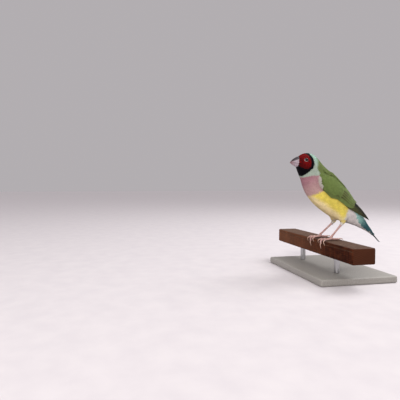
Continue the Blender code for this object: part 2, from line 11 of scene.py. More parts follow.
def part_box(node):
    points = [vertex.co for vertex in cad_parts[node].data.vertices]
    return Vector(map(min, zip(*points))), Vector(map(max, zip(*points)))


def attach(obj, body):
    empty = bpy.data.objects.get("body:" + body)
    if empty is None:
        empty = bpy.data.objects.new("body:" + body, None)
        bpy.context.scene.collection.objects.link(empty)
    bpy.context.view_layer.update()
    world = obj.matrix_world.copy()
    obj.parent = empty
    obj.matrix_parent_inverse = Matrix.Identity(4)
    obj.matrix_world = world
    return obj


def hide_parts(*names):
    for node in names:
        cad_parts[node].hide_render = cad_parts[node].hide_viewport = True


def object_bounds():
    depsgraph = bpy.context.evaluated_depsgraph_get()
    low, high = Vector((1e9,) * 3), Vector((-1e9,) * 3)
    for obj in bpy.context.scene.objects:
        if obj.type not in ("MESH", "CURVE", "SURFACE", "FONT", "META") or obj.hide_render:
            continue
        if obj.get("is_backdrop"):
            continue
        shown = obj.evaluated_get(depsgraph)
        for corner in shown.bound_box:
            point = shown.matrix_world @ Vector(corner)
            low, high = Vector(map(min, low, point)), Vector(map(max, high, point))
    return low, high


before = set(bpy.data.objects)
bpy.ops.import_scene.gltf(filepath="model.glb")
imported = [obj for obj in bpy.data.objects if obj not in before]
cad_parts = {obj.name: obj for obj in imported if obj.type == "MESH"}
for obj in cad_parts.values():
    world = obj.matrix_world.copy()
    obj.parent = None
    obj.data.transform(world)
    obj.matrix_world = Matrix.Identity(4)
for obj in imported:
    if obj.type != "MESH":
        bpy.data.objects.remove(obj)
cad_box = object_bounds()

# The body under the feathers.
# One skin over head, neck, breast, belly, rump and both thighs, of soft down-covered hide.
# It is lofted through the bird's own cross-sections and lies inside the outline by the coat's depth.

MM = 0.001
BILL_TIP, TAIL_TIP = 35.8, (-56.4, -4.6)
BIRD_X, BIRD_Y = 15.0, (BILL_TIP + TAIL_TIP[0]) / 2
BAR_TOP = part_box("perch_bar")[1][2] / MM
random = np.random.default_rng(7)

# Each section: the point on the back (forward, height), the one on the belly, half the width.
BODY_SECTIONS = (
    (28.9, 72.6, 29.5, 68.2, 2.6),
    (27.5, 75.3, 29.2, 65.6, 4.6),
    (24.8, 77.3, 27.9, 62.2, 6.2),
    (21.2, 78.4, 26.8, 59.4, 7.1),
    (17.0, 78.2, 25.8, 56.9, 7.5),
    (13.0, 76.6, 24.8, 54.5, 7.6),
    (9.7, 74.0, 24.1, 52.3, 8.0),
    (6.7, 70.7, 23.4, 50.2, 8.8),
    (3.4, 66.8, 22.4, 47.8, 10.0),
    (-0.6, 62.7, 20.9, 44.7, 11.3),
    (-5.0, 58.1, 18.0, 39.9, 12.4),
    (-10.0, 52.9, 13.4, 34.4, 13.0),
    (-15.3, 47.6, 7.9, 29.3, 13.0),
    (-20.4, 41.7, 1.3, 24.5, 12.3),
    (-25.0, 35.8, -5.9, 20.1, 11.0),
    (-29.6, 31.0, -13.4, 16.9, 9.2),
    (-33.2, 26.6, -21.2, 14.5, 7.2),
    (-36.4, 22.0, -28.4, 12.4, 5.6),
    (-40.0, 17.2, -34.8, 9.8, 4.3),
    (-43.6, 12.2, -39.8, 7.4, 3.0),
    (-46.2, 8.0, -43.6, 5.6, 1.7),
)
# Distance along the body from the bill's base, and how deep the coat is there.
COAT_DEPTH = ((0.0, 0.2), (4.0, 0.3), (10.0, 0.38), (20.0, 0.5), (60.0, 0.65), (85.0, 0.6), (99.0, 0.4))
# The thigh from inside the belly down: forward, height, radius.
THIGH = (
    (-8.0, 28.0, 1.6),
    (-9.6, 25.8, 3.4),
    (-11.4, 23.0, 4.3),
    (-12.8, 20.3, 4.1),
    (-13.2, 17.9, 3.3),
    (-12.8, 15.7, 2.4),
    (-11.8, 14.2, 1.8),
)
HEEL, ANKLE = (-11.0, 13.4), (-0.9, 3.2)
# How far each hip and foot stands to the side, and the heel's share of the way between them.
FEET = {"left": (6.9, 9.0), "right": (-6.9, -10.4)}
HEEL_SHARE = 0.3
SKIN_RINGS, SKIN_SIDES, SKIN_PAINTED_SHADE = 120, 72, 0.55


def place(points):
    """Points (forward, height, side) in millimetres as points of the model in metres."""
    points = np.asarray(points, float)
    x, y, z = BIRD_X + points[..., 2], BIRD_Y - points[..., 0], BAR_TOP + points[..., 1]
    return np.stack([x, y, z], axis=-1) * MM


def srgb(red, green, blue):
    """A colour as a screen shows it, 0 to 255, as the linear one that a shader takes."""
    share = np.array([red, green, blue]) / 255
    return np.where(share <= 0.04045, share / 12.92, ((share + 0.055) / 1.055) ** 2.4)


def mix(start, end, share):
    return start + (end - start) * share


def ease(value, start, end):
    """0 before start, 1 after end, and a soft curve between."""
    share = np.clip((value - start) / (end - start), 0, 1)
    return share * share * (3 - 2 * share)


def curve_through(rows, t):
    """The point at step t of a smooth curve through a table's rows."""
    last = len(rows) - 1
    t = np.clip(t, 0, last)
    i = np.minimum(t.astype(int), last - 1)
    x = (t - i)[..., None]
    a, b, c, d = (rows[np.clip(i + k, 0, last)] for k in (-1, 0, 1, 2))
    return b + 0.5 * x * (c - a + x * (2 * a - 5 * b + 4 * c - d + x * (3 * (b - c) + d - a)))


class Form:
    """A lofted surface, measured along its middle line and by share of the way round."""

    def __init__(self, sections):
        self.sections = np.array(sections)
        last = len(sections) - 1
        self.steps = np.linspace(0, last, 24 * last + 1)
        top_f, top_h, low_f, low_h, wide = self.section(self.steps).T
        middle = np.stack([(top_f + low_f) / 2, (top_h + low_h) / 2])
        runs = np.hypot(*np.diff(middle))
        self.lengths = np.concatenate([[0], np.cumsum(runs)])
        turns = np.linspace(0, math.pi, 121)
        half = np.hypot(top_f - low_f, top_h - low_h)[:, None] / 2
        speed = np.hypot(half * np.sin(turns), wide[:, None] * np.cos(turns))
        arcs = np.cumsum((speed[:, 1:] + speed[:, :-1]) / 2 * turns[1], axis=1)
        arcs = np.hstack([np.zeros((len(arcs), 1)), arcs])
        self.half_girths = arcs[:, -1]
        shares = np.linspace(0, 1, 61)
        rows = [np.interp(shares, arc / arc[-1], turns) for arc in arcs]
        self.angles = np.array(rows)

    def section(self, t):
        return curve_through(self.sections, t)

    def step_at(self, along):
        return np.interp(along, self.lengths, self.steps)

    def half_girth(self, along):
        return np.interp(along, self.lengths, self.half_girths)

    def angle(self, along, around):
        """The angle from the back of a point this far round, both sides of the middle."""
        row = np.interp(along, self.lengths, np.arange(len(self.lengths)))
        share = around / np.interp(row, np.arange(len(self.lengths)), self.half_girths)
        past = np.abs(share) > 1
        folded = np.clip(np.where(past, 2 - np.abs(share), np.abs(share)), 0, 1) * 60
        i = np.minimum(row.astype(int), len(self.lengths) - 2)
        j = np.minimum(folded.astype(int), 59)
        x, y = row - i, folded - j
        one = mix(self.angles[i, j], self.angles[i, j + 1], y)
        two = mix(self.angles[i + 1, j], self.angles[i + 1, j + 1], y)
        angle = mix(one, two, x)
        return np.sign(share) * np.where(past, 2 * math.pi - angle, angle)

    def at_angle(self, t, angle, lift=0.0):
        top_f, top_h, low_f, low_h, wide = np.moveaxis(self.section(t), -1, 0)
        half = np.hypot(top_f - low_f, top_h - low_h) / 2
        reach = (half + lift) * np.cos(angle) / (2 * half)
        forward = (top_f + low_f) / 2 + (top_f - low_f) * reach
        height = (top_h + low_h) / 2 + (top_h - low_h) * reach
        return np.stack([forward, height, (wide + lift) * np.sin(angle)], axis=-1)

    def at(self, along, around, lift=0.0):
        """(forward, height, side) this far along and this far round from the back, in mm."""
        return self.at_angle(self.step_at(along), self.angle(along, around), lift)


BODY = Form(BODY_SECTIONS)

# Edges of the plumage's patches, as (angle from the crown or back, section) or the other way.
RED_EDGE = ((0, 2.7), (26, 2.8), (45, 3.5), (60, 3.95), (75, 4.5), (90, 4.8), (104, 4.4),
            (115, 3.4), (122, 2.2), (135, 1.2), (150, 0.2), (180, -0.8))
BLACK_EDGE = ((0, 3.7), (24, 3.75), (35, 4.0), (51, 4.7), (72, 5.5), (88, 5.65), (116, 5.0),
              (144, 4.3), (180, 3.5))
NECK_EDGE = ((0, 5.6), (30, 5.8), (53, 6.2), (70, 6.5), (89, 6.6), (107, 6.3), (139, 4.9),
             (168, 4.0), (180, 3.9))
MAUVE_EDGE = ((70, 8.6), (87, 8.1), (100, 7.2), (107, 6.7), (139, 5.1), (168, 4.2), (180, 4.1))
WING_SIDE = ((6.0, 70), (8.6, 81), (9.2, 87), (9.8, 91), (10.3, 92), (12.0, 84), (13.8, 70), (14.8, 71),
             (15.4, 84), (16.4, 106), (17.6, 129), (19.5, 150))
STRIP_SIDE = ((6.0, 76), (8.2, 85), (8.6, 88), (9.2, 93), (9.8, 98), (10.3, 102))
CREAM_EDGE = ((10.0, 162), (10.6, 146), (11.4, 137), (12.3, 133), (13.2, 131), (14.8, 128))

RED, BLACK = srgb(112, 8, 10), srgb(5, 3, 8)
TURQUOISE, PALE = srgb(152, 186, 169), srgb(160, 172, 158)
OLIVE, GREEN = srgb(104, 117, 68), srgb(96, 110, 58)
MAUVE, MAUVE_LOW, EDGE_GREY = srgb(158, 115, 123), srgb(184, 150, 147), srgb(186, 184, 172)
YELLOW, CREAM, BUFF_AND_PAINTED_SHADE = srgb(230, 210, 96), srgb(246, 226, 172), srgb(214, 194, 142)
WHITE, WHITE_PAINTED_SHADE = srgb(218, 212, 208), srgb(168, 160, 158)
TEAL, DEEP_TEAL = srgb(158, 202, 192), srgb(48, 86, 92)


def plumage(t, angle):
    """The coat's colour at a section and an angle from the back, in radians."""
    degrees = np.degrees(np.abs(np.mod(angle + math.pi, 2 * math.pi) - math.pi))

    def edge(table, soft):
        return ease(t, *(np.interp(degrees, *zip(*table)) + s * soft / 2 for s in (-1, 1)))[..., None]

    def over(table, soft):
        return ease(degrees, *(np.interp(t, *zip(*table)) + s * soft / 2 for s in (-1, 1)))[..., None]

    def band(value, start, end):
        return ease(value, start, end)[..., None]

    back = mix(OLIVE, GREEN, band(t, 6.5, 9.5))
    rump = mix(TEAL, DEEP_TEAL, band(t, 15.6, 18.4))
    back = mix(back, rump, band(t, 13.3, 14.3))
    mauve = mix(MAUVE, MAUVE_LOW, band(t, 6.5, 10.0))
    strip = over(STRIP_SIDE, 5)
    mauve = mix(EDGE_GREY, mauve, strip)
    mauve = mix(PALE, mauve, edge(MAUVE_EDGE, 0.25))
    # Toward the underside the cream turns a darker buff: partly the belly's own tone, partly painted shade.
    cream = mix(CREAM, BUFF_AND_PAINTED_SHADE, band(degrees, 148, 180))
    yellow = mix(YELLOW, cream, over(CREAM_EDGE, 22))
    vent = np.interp(degrees, (90, 134), (13.75, 14.6))
    # The white turns greyer toward the underside: painted shade.
    white = mix(WHITE, WHITE_PAINTED_SHADE, band(degrees, 135, 172))
    belly = mix(yellow, white, band(t - vent, 0.0, 0.5))
    front = mix(mauve, belly, band(t + (degrees - 120) * 0.003, 9.95, 10.35))
    body = mix(back, front, over(WING_SIDE, 4))
    neck = mix(TURQUOISE, PALE, band(degrees, 30, 85))
    # The red mask darkens to 0.45 of itself toward its lower rear edge: painted shade.
    mask = mix(RED, RED * 0.45, band(degrees + 4 * t, 96, 128))
    colour = mix(mask, BLACK, edge(RED_EDGE, 0.2))
    colour = mix(colour, neck, edge(BLACK_EDGE, 0.22))
    soft = np.interp(degrees, (0, 60, 100, 180), (1.3, 1.0, 0.3, 0.2))
    start = np.interp(degrees, *zip(*NECK_EDGE))
    return mix(colour, body, ease(t, start - soft / 2, start + soft / 2)[..., None])


def object_from(bm, name):
    """The bmesh as a finished piece, its faces pointing out."""
    bmesh.ops.recalc_face_normals(bm, faces=bm.faces)
    if bm.calc_volume(signed=True) < 0:
        bmesh.ops.reverse_faces(bm, faces=bm.faces)
    mesh = bpy.data.meshes.new(name)
    bm.to_mesh(mesh)
    bm.free()
    mesh.shade_smooth()
    piece = bpy.data.objects.new(name, mesh)
    bpy.context.scene.collection.objects.link(piece)
    return piece


def loft(bm, rings):
    """Bridges one circle of points to the next and closes both ends."""
    before = None
    for ring in rings:
        made = bmesh.ops.create_circle(bm, segments=len(ring), radius=MM)["verts"]
        for vert, point in zip(made, ring):
            vert.co = point
        edges = list({e for v in made for e in v.link_edges})
        if before:
            bmesh.ops.bridge_loops(bm, edges=before + edges)
        else:
            first = made
        before = edges
    bm.faces.new(first)
    bm.faces.new(made)


def baked(piece):
    """The piece with its modifiers worked into its mesh."""
    bpy.context.view_layer.update()
    mesh = bpy.data.meshes.new_from_object(piece.evaluated_get(bpy.context.evaluated_depsgraph_get()))
    piece.modifiers.clear()
    piece.data = mesh
    return piece


def thigh_path(hip_side, heel_side, below=()):
    """(forward, height, side, radius) from inside the belly to the heel, and on down the leg."""
    rows = np.array([(*row[:2], 0, row[2]) for row in THIGH])
    rows[:, 2] = np.linspace(hip_side, mix(hip_side, heel_side, 0.9), len(rows))
    return np.array([*rows, *below])


def thigh_rings(rows, shrink, count=20, sides=28):
    spots = np.linspace(0, len(rows) - 1, count)
    path = np.stack([np.interp(spots, range(len(rows)), rows[:, k]) for k in range(4)], axis=1)
    return tube_rings(path[:, :3], path[:, 3] - shrink, sides)


def tube_rings(path, radii, sides):
    """Circles square to a path of (forward, height, side) points, in millimetres."""
    path = np.asarray(path, float)
    runs = np.gradient(path, axis=0)
    runs /= np.linalg.norm(runs, axis=1)[:, None]
    out = np.cross(runs, (0.0, 0.0, 1.0))
    out /= np.linalg.norm(out, axis=1)[:, None]
    across = np.cross(runs, out)
    turns = np.linspace(0, 2 * math.pi, sides, endpoint=False)
    wheel = out[:, None] * np.cos(turns)[:, None] + across[:, None] * np.sin(turns)[:, None]
    return path[:, None] + wheel * np.reshape(radii, (-1, 1, 1))


def make_skin():
    bm = bmesh.new()
    steps = np.linspace(0.0, 19.6, SKIN_RINGS)
    angles = np.linspace(0, 2 * math.pi, SKIN_SIDES, endpoint=False)
    depths = np.interp(np.interp(steps, BODY.steps, BODY.lengths), *zip(*COAT_DEPTH))
    rings = [place(BODY.at_angle(np.full(SKIN_SIDES, t), angles, -d)) for t, d in zip(steps, depths)]
    loft(bm, rings)
    for hip_side, foot_side in FEET.values():
        heel_side = mix(hip_side, foot_side, HEEL_SHARE)
        loft(bm, place(thigh_rings(thigh_path(hip_side, heel_side), np.linspace(0.4, 1.05, 20))))
    skin = object_from(bm, "skin")
    remesh = skin.modifiers.new("one_surface", "REMESH")
    remesh.mode, remesh.voxel_size = "VOXEL", 0.5 * MM
    smooth = skin.modifiers.new("soften", "SMOOTH")
    smooth.factor, smooth.iterations = 0.5, 6
    baked(skin).data.shade_smooth()
    return skin


def nearest_on_body(points):
    """The section and angle of points of the model near the body's surface."""
    t = np.linspace(0, 20, 201)
    top_f, top_h, low_f, low_h, wide = BODY.section(t).T
    half = np.hypot(top_f - low_f, top_h - low_h) / 2
    up = np.stack([top_f - low_f, top_h - low_h]) / (2 * half)
    forward, height = BIRD_Y - points[:, 1] / MM, points[:, 2] / MM - BAR_TOP
    side = points[:, 0] / MM - BIRD_X
    from_f = forward[:, None] - (top_f + low_f) / 2
    from_h = height[:, None] - (top_h + low_h) / 2
    off = np.abs(from_h * up[0] - from_f * up[1])
    off += np.where(np.hypot(from_f, from_h) > half * 1.5, 50, 0)
    best = off.argmin(axis=1)
    rows = np.arange(len(points))
    rise = (from_f[rows, best] * up[0][best] + from_h[rows, best] * up[1][best]) / half[best]
    return t[best], np.arctan2(side / wide[best], rise)


def paint(mesh, colours):
    """Stores a colour for each vertex, which the feather and skin materials read."""
    layer = mesh.attributes.new("plumage", "FLOAT_COLOR", "POINT")
    rows = np.ones((len(mesh.vertices), 4), np.float32)
    rows[:, :3] = colours
    layer.data.foreach_set("color", rows.ravel())


def vertices_of(mesh):
    flat = np.empty(len(mesh.vertices) * 3, np.float32)
    mesh.vertices.foreach_get("co", flat)
    return flat.reshape(-1, 3).astype(float)


class Tree:
    """Adds nodes to one shader tree in few words."""

    def __init__(self, tree):
        self.tree = tree

    def add(self, kind, inputs=None, **settings):
        node = self.tree.nodes.new("ShaderNode" + kind)
        for name, value in settings.items():
            setattr(node, name, value)
        for name, value in (inputs or {}).items():
            self.put(value, node.inputs[name])
        return node

    def put(self, value, socket):
        if isinstance(value, bpy.types.NodeSocket):
            self.tree.links.new(value, socket)
        else:
            socket.default_value = value

    def noise(self, scale, detail):
        """Noise that stays with the piece, because it reads the piece's own coordinates."""
        where = self.add("TexCoord").outputs["Object"]
        return self.add("TexNoise", {"Vector": where, "Scale": scale, "Detail": detail})

    def math(self, operation, *values):
        node = self.add("Math", operation=operation)
        for value, socket in zip(values, node.inputs):
            self.put(value, socket)
        return node.outputs[0]

    def blend(self, share, one, two, blend_type="MIX"):
        node = self.add("Mix", data_type="RGBA", blend_type=blend_type)
        for value, socket in ((share, node.inputs[0]), (one, node.inputs[6]), (two, node.inputs[7])):
            self.put(value, socket)
        return node.outputs[2]

    def ramp(self, value, *stops):
        node = self.add("ValToRGB")
        ramp = node.color_ramp
        for spot, colour in stops[2:]:
            ramp.elements.new(spot)
        for element, (spot, colour) in zip(ramp.elements, stops):
            element.position = spot
            element.color = (*colour, 1.0) if np.ndim(colour) else (colour, colour, colour, 1.0)
        self.put(value, node.inputs[0])
        return node.outputs[0]


def new_material(name, roughness, **fixed):
    """A material with its constants on the shader's own sockets, and its tree."""
    material = bpy.data.materials.new(name)
    material.use_nodes = True
    shader = material.node_tree.nodes["Principled BSDF"]
    shader.inputs["Roughness"].default_value = roughness
    for socket, value in fixed.items():
        shader.inputs[socket.replace("_", " ")].default_value = value
    return material, Tree(material.node_tree), shader


def bump(tree, shader, height, strength, distance):
    node = tree.add("Bump", {"Height": height, "Strength": strength, "Distance": distance})
    tree.put(node.outputs[0], shader.inputs["Normal"])


def group_of(name, inputs, outputs):
    """An empty node group with named sockets, its tree, and its two end nodes."""
    group = bpy.data.node_groups.new(name, "ShaderNodeTree")
    for socket, value in inputs.items():
        made = group.interface.new_socket(socket, in_out="INPUT", socket_type="NodeSocketFloat")
        made.default_value = value
    for socket in outputs:
        group.interface.new_socket(socket, in_out="OUTPUT", socket_type="NodeSocketFloat")
    tree = Tree(group)
    return group, tree, group.nodes.new("NodeGroupInput"), group.nodes.new("NodeGroupOutput")


skin = make_skin()
skin_t, skin_angle = nearest_on_body(vertices_of(skin.data))
# The skin takes the coat's colours at 0.55 of their strength: painted shade for the down seen between the
# feathers.
paint(skin.data, plumage(skin_t, skin_angle) * SKIN_PAINTED_SHADE)
down, tree, shader = new_material("down", 0.85, Sheen_Weight=0.15)
spots = tree.noise(900.0, 3.0)
shade = tree.ramp(spots.outputs["Fac"], (0.3, 0.7), (0.7, 1.0))
colour = tree.add("Attribute", attribute_name="plumage").outputs["Color"]
tree.put(tree.blend(1.0, colour, shade, "MULTIPLY"), shader.inputs["Base Color"])
bump(tree, shader, spots.outputs["Fac"], 0.6, 0.0003)
skin.data.materials.append(down)
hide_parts("head", "neck", "torso", "thigh_left", "thigh_right")
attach(skin, "root")

# The coat.
# Thousands of short soft feathers in rows that lap one another from the bill back to the tail,
# tiny on the face and longest on the back and flanks. Each is a fan of thin closed barb bundles.

STATIONS = np.array([0.0, 0.32, 0.6, 0.84, 1.0])
WIDTHS = np.array([0.6, 0.95, 0.98, 0.72, 0.16])
# The barb bundles of one feather: how far each leans to the side, and its share of the length.
FAN = np.array([(-1.0, 0.9), (0.0, 1.0), (1.0, 0.86)])
EYE_SECTION, EYE_ANGLE = 2.92, math.radians(71.0)
# The feathers stop this far from the eye's middle, and each takes this much of the baked picture.
EYE_CLEAR = 1.54
BAKE_PATCH = 0.003

# Distance along the body, row spacing, spacing within a row, feather length and width.
COAT_ROWS = (
    (0.0, 0.24, 0.36, 1.1, 0.66),
    (4.0, 0.3, 0.46, 1.6, 0.85),
    (10.0, 0.38, 0.56, 2.4, 1.05),
    (18.0, 0.52, 0.74, 3.8, 1.45),
    (30.0, 0.64, 0.92, 5.2, 1.85),
    (60.0, 0.7, 0.98, 6.0, 1.95),
    (85.0, 0.64, 0.9, 5.4, 1.7),
    (99.0, 0.55, 0.78, 3.4, 1.3),
)


def feather_points(form, along, share, yaw, length, width, lifts, camber=0.12):
    """Left edge, ridge and right edge of each barb bundle at each station, laid on a form."""
    lean = 0.26 * width / length
    yaw = yaw[:, None] + lean[:, None] * FAN[:, 0] + random.normal(0, 0.03, (len(along), len(FAN)))
    length = length[:, None] * FAN[:, 1] * random.uniform(0.92, 1.08, (len(along), len(FAN)))
    ahead, aside = np.cos(yaw)[..., None], np.sin(yaw)[..., None]
    reach = length[..., None] * STATIONS
    half = 0.27 * width[:, None, None] * WIDTHS
    down = along[:, None, None] + ahead * reach
    base = share[:, None, None] * form.half_girth(down) + aside * reach
    rise = lifts[0][:, None] + (lifts[1] - lifts[0])[:, None] * (1 - (1 - STATIONS) ** 1.7)
    rise = rise[:, None] - 0.004 * np.abs(FAN[:, :1]) * reach
    columns = []
    for side in (-1, 0, 1):
        drop = camber * half * abs(side)
        columns.append(form.at(down - aside * half * side, base + ahead * half * side, rise - drop))
    return np.stack(columns, axis=3)


def feather_mesh(name, points, colours, bake, material, mirrored=False):
    """One piece of many feathers, each of closed barb bundles of three-cornered section.

    points is (feather, bundle, station, column, xyz) in millimetres of the bird, colours is
    (feather, station, 3), and bake is each root's place on an unwrap of the skin.
    """
    fan = points.shape[1]
    points = points.reshape(-1, *points.shape[2:])
    colours, bake = np.repeat(colours, fan, axis=0), np.repeat(bake, fan, axis=0)
    colours = colours * random.uniform(0.96, 1.04, (len(colours), 1, 1))
    count, rings = points.shape[:2]
    mesh = bpy.data.meshes.new(name)
    mesh.vertices.add(count * rings * 3)
    mesh.vertices.foreach_set("co", place(points).astype(np.float32).ravel())
    k = np.arange(rings - 1)[:, None]
    quads = []
    for one, two in ((0, 1), (1, 2), (2, 0)):
        quads.append(np.hstack([3 * k + one, 3 * k + two, 3 * k + 3 + two, 3 * k + 3 + one]))
    quads = np.concatenate(quads)
    caps = np.array([[2, 1, 0], [3 * rings - 3, 3 * rings - 2, 3 * rings - 1]])
    if not mirrored:
        quads, caps = quads[:, ::-1], caps[:, ::-1]
    corners = np.concatenate([quads.ravel(), caps.ravel()])
    loops = (corners[None] + np.arange(count)[:, None] * rings * 3).ravel()
    sizes = np.tile(np.array([4] * len(quads) + [3] * 2), count)
    mesh.loops.add(len(loops))
    mesh.loops.foreach_set("vertex_index", loops.astype(np.int32))
    mesh.polygons.add(len(sizes))
    mesh.polygons.foreach_set("loop_start", (np.cumsum(sizes) - sizes).astype(np.int32))
    mesh.update(calc_edges=True)
    ends = np.empty(len(mesh.edges) * 2, np.int32)
    mesh.edges.foreach_get("vertices", ends)
    ends = ends.reshape(-1, 2)
    ring_of, column_of = ends // 3 % rings, ends % 3
    rims = (column_of[:, 0] == column_of[:, 1]) & (column_of[:, 0] != 1)
    rims |= (ring_of[:, 0] == ring_of[:, 1]) & np.isin(ring_of[:, 0], (0, rings - 1))
    mesh.attributes.new("sharp_edge", "BOOLEAN", "EDGE").data.foreach_set("value", rims)
    across = np.array([0.0, 0.5, 1.0])[corners % 3]
    down = STATIONS[corners // 3]
    local = np.stack([across, down], axis=1)
    vane = mesh.uv_layers.new(name="vane")
    vane.data.foreach_set("uv", np.tile(local, (count, 1)).astype(np.float32).ravel())
    patch = bake[:, None] + (local - (0.5, 0.5)) * BAKE_PATCH
    mesh.uv_layers.new(name="OFBake").data.foreach_set("uv", patch.astype(np.float32).ravel())
    paint(mesh, np.repeat(colours[:, :, None], 3, axis=2).reshape(-1, 3))
    piece = bpy.data.objects.new(name, mesh)
    bpy.context.scene.collection.objects.link(piece)
    mesh.materials.append(material)
    return piece


# Barbs run out from each shaft towards the tip. The group gives their light and dark and height.
barbs, tree, ends_in, ends_out = group_of(
    "barbs", {"Along": 12.0, "Across": -2.0, "Shaft": 0.6, "Depth": 0.2}, ("Shade", "Height")
)
split = tree.add("SeparateXYZ", {"Vector": tree.add("UVMap", uv_map="vane").outputs[0]})
off_shaft = tree.math("MULTIPLY", tree.math("ABSOLUTE", tree.math("SUBTRACT", split.outputs[0], 0.5)), 2.0)
ragged = tree.noise(2500.0, 2.0)
phase = tree.math("MULTIPLY", split.outputs[1], ends_in.outputs["Along"])
phase = tree.math("ADD", phase, tree.math("MULTIPLY", off_shaft, ends_in.outputs["Across"]))
phase = tree.math("ADD", phase, tree.math("MULTIPLY", ragged.outputs["Fac"], 0.9))
wave = tree.math("SINE", tree.math("MULTIPLY", phase, 2 * math.pi))
wave = tree.math("MULTIPLY_ADD", wave, 0.5, 0.5)
shaft = tree.math("SUBTRACT", 1.0, tree.math("SMOOTH_MIN", 1.0, tree.math("MULTIPLY", off_shaft, 9.0), 0.2))
shaft = tree.math("MULTIPLY", shaft, ends_in.outputs["Shaft"])
dark = tree.math("MULTIPLY", tree.math("ADD", wave, shaft), ends_in.outputs["Depth"])
tree.put(tree.math("SUBTRACT", 1.0, dark), ends_out.inputs["Shade"])
tree.put(tree.math("ADD", tree.math("SUBTRACT", 1.0, wave), shaft), ends_out.inputs["Height"])


def feather_material(name, lines_set, roughness=0.7, sheen=0.01, patches=0.2):
    """Soft barbed keratin that takes its colour from each feather."""
    material, tree, shader = new_material(
        name, roughness, Sheen_Weight=sheen, Sheen_Roughness=0.5, Specular_IOR_Level=0.06
    )
    lines = tree.add("Group", node_tree=barbs)
    for socket, value in lines_set.items():
        lines.inputs[socket].default_value = value
    cloud = tree.noise(320.0, 2.0)
    cloudy = tree.ramp(cloud.outputs["Fac"], (0.3, 1.0 - patches), (0.7, 1.0 + patches * 0.4))
    colour = tree.add("Attribute", attribute_name="plumage").outputs["Color"]
    colour = tree.blend(1.0, colour, cloudy, "MULTIPLY")
    tree.put(tree.blend(1.0, colour, lines.outputs["Shade"], "MULTIPLY"), shader.inputs["Base Color"])
    bump(tree, shader, lines.outputs["Height"], 0.35, 0.00008)
    return material


soft_feather = feather_material(
    "soft_feather", {"Along": 1.0, "Across": 2.0, "Shaft": 0.0, "Depth": 0.14}, patches=0.12
)


def coat_roots():
    """Roots of the body's feathers in rows, each row shifted by half a step, with some scatter."""
    table = np.array(COAT_ROWS)
    along, shares = [], []
    row, number = 0.15, 0
    while row < BODY.lengths[-1] - 3.0:
        spacing, gap = (np.interp(row, table[:, 0], table[:, k]) for k in (1, 2))
        girth = 2 * BODY.half_girth(row)
        count = max(6, round(girth / gap))
        turn = (np.arange(count) + 0.5 * (number % 2)) / count * 2 - 1
        shares.append(turn + random.uniform(-0.42, 0.42, count) / count * 2)
        along.append(row + random.uniform(-0.5, 0.5, count) * spacing)
        row, number = row + spacing, number + 1
    return np.concatenate(along), np.concatenate(shares)


def eye_place(side):
    """The middle of one eye on the head's surface and the way out of the head, in bird millimetres."""
    t, angle = np.array(EYE_SECTION), np.array(side * EYE_ANGLE)
    step = 0.02
    along = BODY.at_angle(t + step, angle) - BODY.at_angle(t - step, angle)
    around = BODY.at_angle(t, angle + step) - BODY.at_angle(t, angle - step)
    out = np.cross(along, around)
    out /= np.linalg.norm(out)
    return BODY.at_angle(t, angle), out * np.sign(out[2]) * side


def off_eye_axis(points):
    """How far points are from the line through the nearer eye, square to it."""
    gaps = []
    for side in (1, -1):
        middle, out = eye_place(side)
        away = points - middle
        high = away @ out
        gap = np.linalg.norm(away - high[..., None] * out, axis=-1)
        gaps.append(np.where(points[..., 2] * side > 0, gap, 99.0))
    return np.minimum(*gaps)


# Each mandible's rows: forward, height of the ridge, height of the mouth line, half the width.
UPPER_BILL = (
    (24.0, 74.9, 67.3, 4.1),
    (28.0, 75.3, 68.6, 4.25),
    (30.6, 74.4, 69.3, 3.6),
    (33.0, 72.9, 69.7, 2.55),
    (34.7, 71.3, 69.6, 1.45),
    (35.5, 70.3, 69.3, 0.75),
    (BILL_TIP, 69.8, 69.2, 0.3),
)
LOWER_BILL = (
    (24.0, 64.6, 67.0, 3.9),
    (28.0, 65.5, 68.3, 4.0),
    (30.6, 66.3, 69.0, 3.2),
    (32.8, 67.4, 69.4, 2.1),
    (34.2, 68.3, 69.3, 1.15),
    (35.0, 68.8, 69.1, 0.45),
)


def in_bill(points, margin):
    """True for points inside the bill, or nearer to it than the margin."""
    forward, height, side = points[..., 0], points[..., 1], points[..., 2]
    inside = np.zeros(forward.shape, bool)
    for rows in (UPPER_BILL, LOWER_BILL):
        at, ridge, mouth, wide = (np.array(column) for column in zip(*rows))
        rise = np.interp(forward, at, ridge) - np.interp(forward, at, mouth)
        over = (height - np.interp(forward, at, mouth)) / rise
        round_off = np.sqrt(np.clip(1 - over**2, 0, 1))
        reach = np.interp(forward, at, wide) * round_off + margin
        between = (over > -0.2) & (over < 1 + margin / np.abs(rise))
        inside |= between & (np.abs(side) < reach) & (forward > 24)
    return inside


# Rings down a thigh, sides of each, the ring at the heel, and how the coat narrows ring by ring.
TUBE_RINGS, TUBE_SIDES, HEEL_RING = 60, 32, 44
THIGH_TAPER = ((0, 1.0), (18, 0.93), (34, 0.88), (44, 0.74), (52, 0.78), (59, 0.85))


